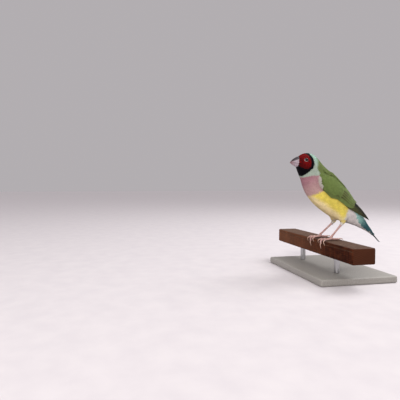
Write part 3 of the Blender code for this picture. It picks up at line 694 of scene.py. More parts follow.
class Tube:
    """The thigh's round form down over the heel, with the same measures as Form."""

    def __init__(self, hip_side, foot_side):
        heel_side = mix(hip_side, foot_side, HEEL_SHARE)
        below = ((-10.6, 12.9, heel_side, 1.5), (-8.8, 11.1, mix(heel_side, foot_side, 0.2), 1.2))
        rings = thigh_rings(thigh_path(hip_side, heel_side, below), 0.0, TUBE_RINGS, TUBE_SIDES)
        self.middles = rings.mean(axis=1)
        radii = np.linalg.norm(rings[:, 0] - self.middles, axis=1)
        self.out = (rings[:, 0] - self.middles) / radii[:, None]
        self.across = (rings[:, TUBE_SIDES // 4] - self.middles) / radii[:, None]
        self.radii = radii * np.interp(np.arange(TUBE_RINGS), *zip(*THIGH_TAPER))
        runs = np.linalg.norm(np.diff(self.middles, axis=0), axis=1)
        self.lengths = np.concatenate([[0], np.cumsum(runs)])
        self.heel = self.lengths[HEEL_RING]

    def half_girth(self, along):
        return math.pi * np.interp(along, self.lengths, self.radii)

    def at(self, along, around, lift=0.0):
        row = np.interp(along, self.lengths, np.arange(TUBE_RINGS))
        row = np.clip(row, 0, TUBE_RINGS - 1.001)
        i, x = row.astype(int), (row % 1.0)[..., None]
        angle = (around / mix(self.radii[i], self.radii[i + 1], x[..., 0]))[..., None]
        out, across, middle = (mix(f[i], f[i + 1], x) for f in (self.out, self.across, self.middles))
        reach = (mix(self.radii[i], self.radii[i + 1], x[..., 0]) + lift)[..., None]
        return middle + (out * np.cos(angle) + across * np.sin(angle)) * reach


THIGHS = {side: Tube(*sides) for side, sides in FEET.items()}
# How wide the swell blends in, the most that it lifts a feather, and where it can begin.
THIGH_BLEND, THIGH_RISE, THIGH_MIDDLE, THIGH_REACH = 3.2, 4.4, 15, 16


def drape(points):
    """Lays the belly's feathers over the top of each thigh in one soft swell."""
    for tube in THIGHS.values():
        near = np.linalg.norm(points[:, 1, 0, 1] - tube.middles[THIGH_MIDDLE], axis=-1) < THIGH_REACH
        chosen = points[near]
        flat = chosen.reshape(-1, 3)
        t, angle = nearest_on_body(place(flat))
        up = BODY.at_angle(t, angle, 1.0) - BODY.at_angle(t, angle, 0.0)
        up /= np.linalg.norm(up, axis=1)[:, None]
        rise = np.zeros(len(flat))
        for _ in range(9):
            spots = flat + up * rise[:, None]
            away = np.linalg.norm(spots[:, None] - tube.middles[None, :HEEL_RING:3], axis=2)
            gap = (away - tube.radii[None, :HEEL_RING:3]).min(axis=1)
            share = np.clip(0.5 + 0.5 * (gap - rise) / THIGH_BLEND, 0, 1)
            rise = rise - mix(gap, rise, share) + THIGH_BLEND * share * (1 - share)
        rise = rise.reshape(chosen.shape[:-1])
        stays = rise.max(axis=(1, 2, 3)) > THIGH_RISE
        rise[stays] = 0.0
        points[near] = chosen + up.reshape(chosen.shape) * np.maximum(rise, 0.0)[..., None]
    return points


def make_coat():
    along, share = coat_roots()
    table = np.array(COAT_ROWS)
    length, width = (np.interp(along, table[:, 0], table[:, k]) for k in (3, 4))
    length *= random.uniform(0.85, 1.15, len(along))
    width *= random.uniform(0.9, 1.15, len(along))
    sweep = 0.07 * np.sin(along * 0.55 + 9 * share) * np.sin(2.3 * along / (4 + along))
    yaw = random.normal(0, 0.09, len(along)) + sweep
    depth = np.interp(along, *zip(*COAT_DEPTH))
    root_lift, tip_lift = -depth * 0.9, random.uniform(-0.06, 0.03, len(along)) * depth

    # Feathers in front of an eye or beside the bill are cut short of it, and those in it go.
    roots = BODY.at(along, share * BODY.half_girth(along))
    keep = (off_eye_axis(roots) > EYE_CLEAR) & ~in_bill(roots, 0.1)
    for _ in range(6):
        tips = BODY.at(along + length, share * BODY.half_girth(along + length))
        hit = off_eye_axis(tips) < EYE_CLEAR
        length = np.where(hit, length * 0.7, length)
    keep &= length > 0.3
    # Nothing is seen of the feathers that the folded wings lie on.
    around = np.abs(share) * BODY.half_girth(along)
    under = (along > 32) & (along < 74) & (around > np.interp(along, (32, 74), (13.0, 6.0)))
    under &= around < np.interp(along, (32, 50, 60, 74), (21.0, 19.0, 14.0, 8.0))
    keep &= ~under & ~((along > 27) & (along < 48) & (around < 5.5))
    along, share, yaw, length, width = (a[keep] for a in (along, share, yaw, length, width))
    lifts = (root_lift[keep], tip_lift[keep])

    points = drape(feather_points(BODY, along, share, yaw, length, width, lifts))
    shown = along + length * 0.75
    t = BODY.step_at(shown)
    angle = BODY.angle(shown, share * BODY.half_girth(shown))
    base = plumage(t, angle)
    base = base * random.uniform(0.93, 1.06, (len(t), 1)) * random.uniform(0.98, 1.02, (len(t), 3))
    degrees = np.degrees(np.abs(np.mod(angle + math.pi, 2 * math.pi) - math.pi))

    # The red mask is flecked with black, most of all between bill and eye.
    red = (base[:, 0] > 0.03) & (base[:, 1] < 0.02)
    lores = np.exp(-(((t - 1.6) / 0.8) ** 2) - ((degrees - 78) / 22) ** 2)
    fleck = random.uniform(0, 1, len(t)) < 0.1 + 0.5 * lores
    base = np.where((red & fleck)[:, None], mix(BLACK, base, 0.18), base)
    # Each feather is darker at its root and lightest at its end.
    fade = mix(0.9, 1.03, STATIONS**0.7)[None, :, None]
    colours = base[:, None] * fade
    bake = np.stack([0.04 + shown / 110, 0.5 + share * 0.46], axis=1)

    crown = degrees < 62
    regions = {
        "coat_face": (along < 10.0) & ~crown,
        "coat_crown": (along < 21.0) & crown,
        "coat_neck": (along >= 10.0) & (along < 21.0) & ~crown,
        "coat_back": (along >= 21.0) & (along < 52.0) & (degrees < 80),
        "coat_rump": (along >= 52.0) & (degrees < 80),
        "coat_breast": (along >= 21.0) & (along < 41.0) & (degrees >= 80),
        "coat_belly": (along >= 41.0) & (along < 62.0) & (degrees >= 80),
        "coat_vent": (along >= 62.0) & (degrees >= 80),
    }
    for name, chosen in regions.items():
        piece = feather_mesh(name, points[chosen], colours[chosen], bake[chosen], soft_feather)
        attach(piece, "root")


make_coat()

# Thighs.
# Short loose feathers that hang from the flank down to the heel, yellow above and white below.


def make_thigh_coat(name, tube, mirror):
    along, share = [], []
    for number, row in enumerate(np.arange(2.0, tube.heel - 0.4, 0.45)):
        count = max(9, round(2 * tube.half_girth(row) / (0.78)))
        turn = (np.arange(count) + 0.5 * (number % 2)) / count * 2 - 1
        share.append(turn + random.uniform(-0.4, 0.4, count) / count * 2)
        along.append(row + random.uniform(-0.4, 0.4, count))
    along, share = np.concatenate(along), np.concatenate(share)
    down = along / tube.heel
    length = np.interp(down, (0, 0.6, 1), (4.8, 3.6, 1.9)) * random.uniform(0.75, 1.2, len(along))
    width = np.interp(down, (0, 1), (1.7, 0.7))
    yaw = random.normal(0, 0.12, len(along))
    lifts = (np.full(len(along), -0.5), random.uniform(-0.1, 0.06, len(along)) + 0.1 * ease(down, 0.8, 1.0))
    points = feather_points(tube, along, share, yaw, length, width, lifts)
    t, angle = nearest_on_body(place(points[:, 1, 3, 1]))
    above = plumage(np.minimum(t, 13.4), angle)
    pale = mix(YELLOW, CREAM, 0.35)
    base = mix(above, pale, ease(down, 0.3, 0.6)[:, None])
    low = ease(down + random.normal(0, 0.05, len(along)), 0.66, 0.92)[:, None]
    base = mix(base, WHITE, low) * random.uniform(0.93, 1.06, (len(along), 1))
    colours = base[:, None] * mix(0.9, 1.03, STATIONS)[None, :, None]
    bake = np.stack([0.02 + along / 180, share * 0.05 + (0.92 if mirror else 0.08)], axis=1)
    piece = feather_mesh(name, points, colours, bake, soft_feather)
    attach(piece, "root")


for side, tube in THIGHS.items():
    make_thigh_coat("coat_thigh_" + side, tube, side == "right")

# Folded wings.
# Stiff flight feathers in tiers over a thin arm: primaries to the tip, secondaries, three broad
# tertials, and rows of rounded coverts over their roots. Outer webs are green, inner ones brown.

# Sections of the folded wing's outer form, as the body's.
WING_SECTIONS = (
    (5.0, 69.2, 23.2, 49.3, 9.6),
    (3.1, 67.1, 22.6, 47.6, 10.3),
    (-0.9, 63.0, 21.1, 44.5, 11.6),
    (-5.3, 58.4, 18.2, 39.7, 12.7),
    (-10.3, 53.2, 13.6, 34.2, 13.3),
    (-15.6, 47.9, 8.1, 29.1, 13.3),
    (-20.8, 42.0, 1.5, 24.3, 12.6),
    (-25.4, 36.2, -5.8, 19.8, 11.4),
    (-30.4, 31.8, -14.4, 17.6, 9.8),
    (-34.6, 27.8, -23.0, 17.0, 8.0),
    (-38.2, 23.7, -30.6, 16.6, 6.4),
    (-41.2, 19.8, -36.4, 15.4, 5.2),
    (-43.6, 15.9, -40.4, 13.0, 4.5),
    (-45.6, 12.4, -43.0, 9.8, 4.0),
)
WING = Form(WING_SECTIONS)
# The arm under the feathers: distance along, its back edge, its lower edge, its height.
WING_PLAN = (
    (2.6, 17.0, 19.5, -0.4),
    (4.6, 13.0, 22.0, 0.4),
    (8.0, 10.0, 24.4, 0.8),
    (13.0, 8.0, 25.8, 1.0),
    (20.0, 6.4, 26.0, 1.0),
    (29.0, 4.8, 23.2, 0.9),
    (38.0, 4.2, 18.8, 0.7),
    (46.0, 4.6, 14.0, 0.4),
    (52.0, 5.4, 10.4, 0.1),
)
BROWN, DARK_BROWN, BLACK_BROWN = srgb(62, 52, 32), srgb(30, 25, 20), srgb(24, 21, 20)
WING_GREEN, WING_EDGE = srgb(104, 121, 66), srgb(128, 140, 84)
VANE_RINGS, VANE_COLUMNS = 22, 9


def spread(count):
    """Shares from 0 to 1 for a row of this many feathers."""
    return np.linspace(0, 1, count)


def vane_width(share, point):
    """Half the width of a vane along its length, as a share of the widest."""
    grow = 0.42 + 0.58 * ease(share, -0.1, 0.45)
    past = np.clip((share - 0.66) / 0.34, 0, 1)
    return grow * (1 - past**point) ** 0.5 + 0.02


def vane_grid(form, side, root, tip, half_width, high, point, bend):
    """The upper and under face of a flight feather or covert laid on a form, as two grids."""
    share = np.linspace(0, 1, VANE_RINGS)[:, None]
    across = np.linspace(-1, 1, VANE_COLUMNS)[None, :]
    run = np.subtract(tip, root)
    length = np.linalg.norm(run)
    run = run / length
    reach = share * length + 0 * across
    wide = vane_width(share, point) + random.normal(0, 0.012, (VANE_RINGS, 1)) * (share > 0.3)
    sway = bend * np.sin(share * math.pi) + across * half_width * wide
    along = root[0] + run[0] * reach - run[1] * sway
    around = root[1] + run[1] * reach + run[0] * sway
    top = mix(high[0], high[1], share) - 0.07 * (1 + across) - 0.05 * across**2
    top = top + 0.05 * np.exp(-((across / 0.12) ** 2))
    thin = 0.12 * (1 - 0.5 * share)
    grids = []
    under = top - thin - 0.05 * (1 - across**2)
    for lift in (top, under):
        grid = form.at(along, around, lift)
        grid[..., 2] *= side
        grids.append(grid)
    return grids


def vanes_mesh(name, feathers, material, side):
    """One piece of many flight feathers or coverts, each a closed thin vane.

    feathers is a list of (upper grid, under grid, colours of the grid).
    """
    points, faces, local, bake, colours = [], [], [], [], []
    cells = math.ceil(math.sqrt(len(feathers)))
    rings, columns = VANE_RINGS, VANE_COLUMNS
    size = rings * columns
    index = np.arange(size).reshape(rings, columns)
    upper = [(index[i, j], index[i, j + 1], index[i + 1, j + 1], index[i + 1, j])
             for i in range(rings - 1) for j in range(columns - 1)]
    rim = [*index[0, :], *index[1:, -1], *index[-1, -2::-1], *index[-2:0:-1, 0]]
    band = [(a, a + size, b + size, b) for a, b in zip(rim, rim[1:] + rim[:1])]
    under = [tuple(i + size for i in reversed(face)) for face in upper]
    one = np.array(upper + under + band)
    if side < 0:
        one = one[:, ::-1]
    grid_u, grid_v = np.meshgrid(np.linspace(0, 1, columns), np.linspace(0, 1, rings))
    flat = np.stack([grid_u.ravel(), grid_v.ravel()], axis=1)
    flat = np.concatenate([flat, flat])
    for number, (top, bottom, shades) in enumerate(feathers):
        points.append(np.concatenate([top.reshape(-1, 3), bottom.reshape(-1, 3)]))
        faces.append(one + number * 2 * size)
        local.append(flat[one.ravel()])
        corner = np.array([number % cells, number // cells]) / cells
        bake.append(corner + (flat[one.ravel()] * 0.92 + 0.04) / cells)
        # Each vane's under face takes its upper face's colours at 0.7: painted shade.
        colours.append(np.concatenate([shades.reshape(-1, 3), shades.reshape(-1, 3) * 0.7]))
    mesh = bpy.data.meshes.new(name)
    mesh.from_pydata(place(np.concatenate(points)).tolist(), [], np.concatenate(faces).tolist())
    for layer, rows in (("vane", local), ("OFBake", bake)):
        spots = np.concatenate(rows).astype(np.float32).ravel()
        mesh.uv_layers.new(name=layer).data.foreach_set("uv", spots)
    paint(mesh, np.concatenate(colours))
    mesh.shade_smooth()
    mesh.set_sharp_from_angle(angle=math.radians(50))
    mesh.materials.append(material)
    piece = bpy.data.objects.new(name, mesh)
    bpy.context.scene.collection.objects.link(piece)
    return piece


def web_colours(outer, inner, edge, tip=None, edge_wide=0.12, dark_base=0.8):
    """Colours of a vane's grid: outer web, inner web, a fringe, and a tip if it differs."""
    across = np.linspace(-1, 1, VANE_COLUMNS)[None, :, None]
    share = np.linspace(0, 1, VANE_RINGS)[:, None, None]
    colour = mix(inner, outer, ease(across, -0.35, 0.1))
    if tip is not None:
        colour = mix(colour, tip, ease(share, 0.55, 0.85))
    rim = np.maximum(ease(np.abs(across), 1 - 2.2 * edge_wide, 1), ease(share, 1 - edge_wide, 1.0))
    colour = mix(colour, edge, rim * 0.8)
    return colour * mix(dark_base, 1.0, ease(share, 0, 0.6)) * random.uniform(0.94, 1.06)


def make_wing_bed(name, side):
    """The arm and folded hand under the feathers."""
    bm = bmesh.new()
    rings = []
    rows = np.array(WING_PLAN)
    spots = np.linspace(0, len(rows) - 1, 30)
    smooth = [np.interp(spots, range(len(rows)), rows[:, k]) for k in range(4)]
    for along, back_edge, low_edge, rise in zip(*smooth):
        turns = np.linspace(0, 2 * math.pi, 36, endpoint=False)
        around = mix(back_edge + 0.5, low_edge - 1.6, 0.5 - 0.5 * np.cos(turns))
        lift = np.where(np.sin(turns) > 0, rise * np.clip(np.sin(turns), 0, 1) ** 0.5, -0.6)
        ring = WING.at(np.full(36, along), around, lift)
        ring[:, 2] *= side
        rings.append(place(ring))
    loft(bm, rings)
    return object_from(bm, name)


quill_feather = feather_material(
    "quill_feather", {"Along": 46.0, "Across": -7.5, "Shaft": 0.6, "Depth": 0.12}, 0.5, 0.03, 0.2
)


def lay(side, root, tip, half_width, high, shades, point, bend=0.0):
    """One vane of the wing from its root to its tip, each given as (along, around)."""
    return (*vane_grid(WING, side, root, tip, half_width, high, point, bend), shades)


def make_wing(name, side):
    """All the wing's long feathers and covert rows, from the lowest tier to the top one."""
    quills, coverts = [], []
    fringe = mix(WING_GREEN, WING_EDGE, 0.6)
    for share in spread(9):
        root, tip = (13.0, mix(26.4, 17.5, share)), (mix(72.0, 52.0, share**1.1), mix(3.4, 8.6, share))
        outer, pale_edge = mix(BROWN, WING_GREEN, 0.15), mix(BROWN, WING_EDGE, 0.35)
        shades = web_colours(outer, DARK_BROWN, pale_edge, BLACK_BROWN, 0.05)
        lift, bend = mix(0.55, 1.25, share), mix(1.3, 0.3, share)
        quills.append(lay(side, root, tip, mix(2.1, 2.8, share), (0.85, lift), shades, 1.6, bend))
    for share in spread(6):
        root, tip = (13.0, mix(24.6, 13.0, share)), (mix(46.5, 43.5, share), mix(13.4, 6.2, share))
        shades = web_colours(WING_GREEN, BROWN, fringe, None, 0.08)
        lift, bend = mix(1.3, 1.65, share), mix(1.2, 0.2, share)
        quills.append(lay(side, root, tip, 2.8, (1.0, lift), shades, 2.2, bend))
    for share in spread(3):
        root, tip = (14.0, mix(12.0, 7.4, share)), (mix(47.0, 36.0, share), mix(6.0, 4.2, share))
        shades = web_colours(WING_GREEN, mix(WING_GREEN, BROWN, 0.3), fringe, None, 0.1)
        quills.append(lay(side, root, tip, 3.1, (1.2, mix(1.65, 1.9, share)), shades, 2.6))
    for share in spread(5):
        root, tip = (10.0, mix(24.8, 22.4, share)), (mix(25.0, 29.5, share), mix(25.4, 22.2, share))
        outer, inner = mix(WING_GREEN, BROWN, 0.2), mix(WING_GREEN, BROWN, 0.5)
        shades = web_colours(outer, inner, WING_GREEN, None, 0.12)
        coverts.append(lay(side, root, tip, 1.8, (1.0, mix(1.3, 1.45, share)), shades, 2.4))
    for share in spread(10):
        root, tip = (10.0, mix(23.4, 8.0, share)), (mix(29.5, 26.0, share), mix(21.0, 7.2, share))
        shades = web_colours(WING_GREEN, WING_GREEN * 0.85, mix(WING_GREEN, WING_EDGE, 0.4), None, 0.14)
        coverts.append(lay(side, root, tip, 1.85, (1.25, mix(1.34, 1.6, share)), shades, 3.0))
    long_vanes = vanes_mesh(name + "_quills", quills, quill_feather, side)
    cover = vanes_mesh(name + "_coverts", coverts, quill_feather, side)
    return long_vanes, cover


def make_shoulder():
    """Small soft coverts over the bend and the arm of the wing, each row a little further back."""
    rows = []

    def swell(row, spots, low, high):
        edge = ease(spots, high - 0.5, high + np.interp(row, (2, 10), (5.0, 2.5)))
        edge = edge * (1 - ease(spots, low - 3.5, low + 1.0))
        full = np.interp(row, (0, 3, 6, 10, 15, 20), (0.2, 0.9, 1.7, 1.85, 1.7, 1.52))
        return full * mix(np.interp(row, (2, 6, 12), (0.0, 0.15, 0.45)), 1.0, edge)

    for row in np.arange(1.6, 19.5, 0.85):
        low = np.interp(row, (1.6, 3, 5, 8, 13, 20), (18.0, 19.8, 22.2, 24.2, 25.4, 24.4))
        high = np.interp(row, (0, 5, 11, 20), (15.5, 10.6, 7.8, 7.0))
        count = int((low - high) / (0.95))
        spots = np.linspace(high, low, count) + 0.45 * (len(rows) % 2) + random.uniform(-0.2, 0.2, count)
        tip_lift = swell(row, spots, low, high)
        root_lift = np.minimum(tip_lift - 0.55, swell(row - 3.2, spots, low, high) - 0.3)
        size = np.interp(row, (2, 8, 19), (0.8, 1.0, 1.3))
        rows.append((
            row + random.uniform(-0.2, 0.2, count), spots, random.uniform(3.9, 4.5, count) * size,
            random.uniform(2.0, 2.3, count) * size, root_lift, tip_lift,
        ))
    return tuple(np.concatenate(column) for column in zip(*rows))


def soft_patch(name, side, rows, base, yaw_spread=0.08, yaw_mean=0.0):
    """Small feathers laid on the wing's form as one piece."""
    along, around, length, width, root_lift, tip_lift = rows
    share = around / WING.half_girth(along)
    yaw = random.normal(yaw_mean, yaw_spread, len(along))
    points = feather_points(WING, along, share, yaw, length, width, (root_lift, tip_lift), 0.1)
    points[..., 2] *= side
    tone = base * random.uniform(0.92, 1.07, (len(along), 1)) * random.uniform(0.98, 1.02, (len(along), 3))
    colours = tone[:, None] * mix(0.86, 1.02, STATIONS**0.7)[None, :, None]
    bake = np.stack([0.05 + along / 90, 0.5 + side * share * 0.45], axis=1)
    piece = feather_mesh(name, points, colours, bake, soft_feather, mirrored=side < 0)
    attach(piece, "root")


def make_mantle():
    """The mantle and scapulars, soft feathers that swell out over both wings' inner edges."""
    rows = []

    def swell(along, around):
        inner = np.interp(along, (20, 24, 31, 50), (13.5, 11.0, 7.2, 4.4))
        top = np.interp(along, (17, 20, 24, 30, 46, 54), (0.0, 0.3, 1.3, 2.55, 2.45, 1.8))
        middle = np.interp(along, (20, 26, 34, 46, 54), (0.0, 0.5, 0.9, 0.5, 0.0))
        return mix(middle, top, ease(np.abs(around), inner - 4.5, inner + 0.6))

    for row in np.arange(16.5, 50.0, 0.66):
        wide = np.interp(row, (16, 20, 23, 31, 42, 50), (6.0, 9.0, 11.0, 10.0, 7.6, 5.6))
        count = int(2 * wide / (0.92))
        spots = np.linspace(-wide, wide, count) + 0.45 * (len(rows) % 2)
        spots = spots + random.uniform(-0.25, 0.25, count)
        along = row + random.uniform(-0.3, 0.3, count)
        length = random.uniform(0.9, 1.1, count) * np.interp(row, (16, 26), (3.4, 5.3))
        fade = 1 - 0.25 * ease(np.abs(spots), wide - 1.6, wide + 0.4)
        rows.append((
            along, spots, length, random.uniform(0.34, 0.42, count) * length,
            swell(along, spots) * fade - 0.6, swell(along + length, spots) * fade,
        ))
    along, around, length, width, root_lift, tip_lift = (np.concatenate(column) for column in zip(*rows))
    share = around / BODY.half_girth(along)
    yaw = random.normal(0, 0.07, len(along))
    points = feather_points(BODY, along, share, yaw, length, width, (root_lift, tip_lift), 0.1)
    base = plumage(BODY.step_at(along + length * 0.7), BODY.angle(along, around * 0.6))
    base = base * random.uniform(0.93, 1.07, (len(along), 1)) * random.uniform(0.98, 1.02, (len(along), 3))
    colours = base[:, None] * mix(0.84, 1.04, STATIONS**0.7)[None, :, None]
    bake = np.stack([0.04 + along / 110, 0.5 + share * 0.46], axis=1)
    piece = feather_mesh("mantle", points, colours, bake, soft_feather)
    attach(piece, "root")


def make_breast_lap(name, side):
    """Feathers of the breast that lap over the front of the folded wing, grey where they meet it."""
    edge = np.array([(0.4, 16.6), (1.4, 19.4), (3.6, 22.4), (6.6, 24.6), (10.0, 25.9), (14.0, 26.8)])
    walk = np.concatenate([[0], np.cumsum(np.hypot(*np.diff(edge.T)))])
    rows, backs = [], []
    for back in np.arange(-3.4, 0.9, 0.42):
        count = int(walk[-1] / (0.62))
        spots = np.linspace(0, walk[-1], count) + random.uniform(-0.3, 0.3, count)
        along = np.interp(spots, walk, edge[:, 0]) + back * np.interp(spots, (0, walk[-1]), (1.0, 0.5))
        around = np.interp(spots, walk, edge[:, 1]) - back * np.interp(spots, (0, walk[-1]), (0.0, 0.8))
        over = ease(np.full(count, back), -3.6, 0.9)
        fade = ease(spots / walk[-1], 0.0, 0.3) - ease(spots / walk[-1], 0.6, 0.95)
        rows.append((
            np.maximum(along, 0.05), around,
            random.uniform(2.7, 3.7, count), random.uniform(1.0, 1.3, count),
            mix(-0.95, 0.0, over) * fade - (1 - fade), mix(-0.25, 1.2, over) * fade - 0.35 * (1 - fade),
        ))
        backs.append(over)
    rows = tuple(np.concatenate(column) for column in zip(*rows))
    over = np.concatenate(backs)[:, None]
    t, angle = nearest_on_body(place(WING.at(rows[0], rows[1] + 1.5, 0.0)))
    front = plumage(t, np.maximum(np.abs(angle), math.radians(104)))
    base = mix(front, EDGE_GREY * 0.85, 0.85 * ease(over, 0.6, 0.85))
    soft_patch(name, side, rows, base, 0.1, -0.12)


bed_material, tree, shader = new_material("wing_bed", 0.8)
mottle = tree.noise(700.0, 3.0)
# The arm is mottled between 0.45 and 0.8 of the wing's green: painted shade for the gaps between feathers.
mottle_in_painted_shade = tree.ramp(mottle.outputs["Fac"], (0.3, WING_GREEN * 0.45), (0.7, WING_GREEN * 0.8))
tree.put(mottle_in_painted_shade, shader.inputs["Base Color"])
bump(tree, shader, mottle.outputs["Fac"], 0.5, 0.0003)

for name, side in (("left", 1), ("right", -1)):
    bed = make_wing_bed("wing_bed_" + name, side)
    bed.data.materials.append(bed_material)
    pieces = (bed, *make_wing("wing_" + name, side))
    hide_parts("wing_" + name)
    for piece in pieces:
        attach(piece, "root")
    soft_patch("shoulder_" + name, side, make_shoulder(), WING_GREEN)
    make_breast_lap("breast_lap_" + name, side)
make_mantle()

# Tail.
# Twelve black feathers in a closed stack, the middle pair drawn out to a pin, under soft
# turquoise coverts, and white ones below.

TAIL_LINE = np.array([(-34.4, 15.4), (-40.4, 10.6), (-47.6, 4.4), TAIL_TIP])
TAIL_BLACK = srgb(24, 26, 30)


def tail_grid(reach, side, splay, half, level, pin, thick=0.22):
    """Upper and under face of one tail feather on the tail's drooping line."""
    share = np.linspace(0, 1, VANE_RINGS)[:, None]
    across = np.linspace(-1, 1, VANE_COLUMNS)[None, :]
    lengths = np.concatenate([[0], np.cumsum(np.hypot(*np.diff(TAIL_LINE.T)))])
    at = share * reach * lengths[-1]
    slope = TAIL_LINE[-1] - TAIL_LINE[0]
    up = np.array([slope[1], -slope[0]]) / np.hypot(*slope)
    if pin:
        wide = np.interp(share, (0, 0.3, 0.55, 0.72, 0.86, 1), (0.7, 1, 0.9, 0.5, 0.3, 0.14))
    else:
        wide = vane_width(share, 1.3)
    sides = side + splay * share + across * half * wide
    grids = []
    for lift in (level + 0.12 - 0.14 * across**2, level - thick + 0.1 - 0.1 * across**2):
        forward = np.interp(at, lengths, TAIL_LINE[:, 0]) + up[0] * lift
        height = np.interp(at, lengths, TAIL_LINE[:, 1]) + up[1] * lift
        grids.append(np.stack([forward + 0 * sides, height + 0 * sides, sides], axis=-1))
    return grids


tail_vanes = []
for pair in range(6):
    for sign in (1, -1):
        reach = 1.0 if pair == 0 else mix(0.74, 0.5, (pair - 1) / 4)
        level = 0.15 - 0.15 * pair + (0.12 if sign > 0 else 0.0)
        half = 1.35 if pair == 0 else 1.3
        off_middle, splay = sign * (0.45 + 0.08 * pair), sign * (0.1 + 0.04 * pair)
        grids = tail_grid(reach, off_middle, splay, half, level, pair == 0)
        shades = web_colours(TAIL_BLACK, TAIL_BLACK, mix(TAIL_BLACK, DEEP_TEAL, 0.5), None, 0.1, 1.0)
        tail_vanes.append((*grids, shades))
tail_piece = vanes_mesh("tail_feathers", tail_vanes, quill_feather, 1)
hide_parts("tail")
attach(tail_piece, "root")

# The coverts lie on the rump's own form from this section back, drawn out along the tail.
COVERT_START = 14
COVERT_SECTIONS = BODY_SECTIONS[COVERT_START:20] + (
    (-46.5, 8.7, -44.1, 5.3, 2.2),
    (-49.2, 5.0, -47.5, 2.9, 1.4),
    (-51.4, 2.7, -50.2, 1.3, 0.9),
)
COVERTS = Form(COVERT_SECTIONS)


def make_covert_coat():
    """Long soft coverts over and under the roots of the tail feathers."""
    total = COVERTS.lengths[-1]
    along, share, length = [], [], []
    step = 0.7
    for row in np.arange(3.0, total - 5.0, step):
        count = max(8, int(2 * COVERTS.half_girth(row) / 0.85))
        along.append(row + random.uniform(-0.4, 0.4, count))
        share.append((np.arange(count) + 0.5 * (int(row / step) % 2)) / count * 2 - 1)
        length.append(random.uniform(0.8, 1.0, count) * min(8.4, total - row - 0.3))
    along, share, length = map(np.concatenate, (along, share, length))
    share = np.mod(share + 1, 2) - 1
    keep = (np.abs(share) > 0.3) | (along < total - 6.0)
    along, share, length = along[keep], share[keep], length[keep]
    width = length * 0.25
    yaw = random.normal(0, 0.06, len(along))
    lifts = (np.full(len(along), -0.9), random.uniform(-0.25, 0.15, len(along)))
    points = feather_points(COVERTS, along, share, yaw, length, width, lifts, 0.1)
    shown = along + length * 0.6
    t = COVERTS.step_at(shown) + COVERT_START
    angle = COVERTS.angle(shown, share * COVERTS.half_girth(shown))
    base = plumage(np.minimum(t, 19.5), angle) * random.uniform(0.85, 1.12, (len(t), 1))
    colours = base[:, None] * mix(0.7, 1.06, STATIONS**0.7)[None, :, None]
    bake = np.stack([0.7 + shown / 180, 0.5 + share * 0.46], axis=1)
    piece = feather_mesh("coat_tail_coverts", points, colours, bake, soft_feather)
    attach(piece, "root")


make_covert_coat()

# Bill.
# Two conical mandibles of pale satin horn that close on a thin mouth line, dark grey along the
# ridge and blushed pink at the tip, with a small nostril at each side of the base.


def bill_rings(rows, sides=72, count=64):
    """Rings of one mandible: round over the ridge, gently rounded in along the mouth line."""
    path = curve_through(np.array(rows), np.linspace(0, len(rows) - 1, count))
    turns = np.linspace(0, 2 * math.pi, sides, endpoint=False)
    rings = []
    for forward, ridge, mouth, wide in path:
        rise = ridge - mouth
        over = np.where(np.sin(turns) > 0, np.sin(turns), np.sin(turns) * 0.06)
        side = wide * np.sign(np.cos(turns)) * np.abs(np.cos(turns)) ** 0.9
        rings.append(np.stack([np.full(sides, forward), mouth + rise * over, side], axis=1))
    return rings


horn, tree, shader = new_material(
    "bill_horn", 0.5, Coat_Weight=0.04, Coat_Roughness=0.3, Specular_IOR_Level=0.3,
    Subsurface_Weight=0.12, Subsurface_Radius=(0.001, 0.0006, 0.0005),
)
where = tree.add("TexCoord").outputs["Object"]
spot = tree.add("SeparateXYZ", {"Vector": where})
tip_y, base_y = (BIRD_Y - BILL_TIP) * MM, (BIRD_Y - 28.0) * MM
far = tree.math("DIVIDE", tree.math("SUBTRACT", spot.outputs[1], tip_y), base_y - tip_y)
lengthwise = tree.add("Mapping", {"Vector": where, "Scale": (1.0, 0.35, 1.0)}).outputs[0]
grain = tree.add("TexNoise", {"Vector": lengthwise, "Scale": 900.0, "Detail": 4.0})
pale = tree.ramp(far, (0.0, srgb(112, 58, 62)), (0.16, srgb(150, 118, 124)), (0.5, srgb(166, 150, 158)))
line = tree.math("MULTIPLY_ADD", far, 0.0028, (BAR_TOP + 69.7) * MM)
ridge = tree.math("MULTIPLY", tree.math("SUBTRACT", spot.outputs[2], line), 1000.0)
waver = tree.math("MULTIPLY", tree.math("SUBTRACT", grain.outputs["Fac"], 0.5), 1.2)
ridge = tree.math("ADD", ridge, waver)
grey = tree.ramp(ridge, (0.15, 0.0), (0.95, 1.0))
colour = tree.blend(tree.math("MULTIPLY", grey, 0.9), pale, (*srgb(26, 22, 26), 1.0))
# The nostril's dent is painted near black: painted shade inside the opening.
nostril = tree.add("Attribute", attribute_name="pit").outputs["Fac"]
colour = tree.blend(nostril, colour, (*srgb(24, 16, 18), 1.0))
streaks = tree.ramp(grain.outputs["Fac"], (0.3, 0.86), (0.7, 1.05))
tree.put(tree.blend(1.0, colour, streaks, "MULTIPLY"), shader.inputs["Base Color"])
bump(tree, shader, grain.outputs["Fac"], 0.12, 0.0002)

for name, rows in (("bill_upper", UPPER_BILL), ("bill_lower", LOWER_BILL)):
    bm = bmesh.new()
    loft(bm, place(bill_rings(rows)))
    pits = {}
    for side in (1, -1):
        pit = Vector(place(np.array([28.75, 73.3, side * 2.9])))
        for vert in bm.verts:
            away = (vert.co - pit).length / MM
            if name == "bill_upper" and away < 0.75:
                depth = 1 - ease(away, 0.12, 0.6)
                vert.co.x -= side * 0.45 * MM * depth
                pits[vert.index] = depth
    bm.verts.index_update()
    marks = [pits.get(vert.index, 0.0) for vert in bm.verts]
    piece = object_from(bm, name + "_horn")
    piece.data.attributes.new("pit", "FLOAT", "POINT").data.foreach_set("value", marks)
    piece.data.materials.append(horn)
    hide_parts(name)
    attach(piece, "root")


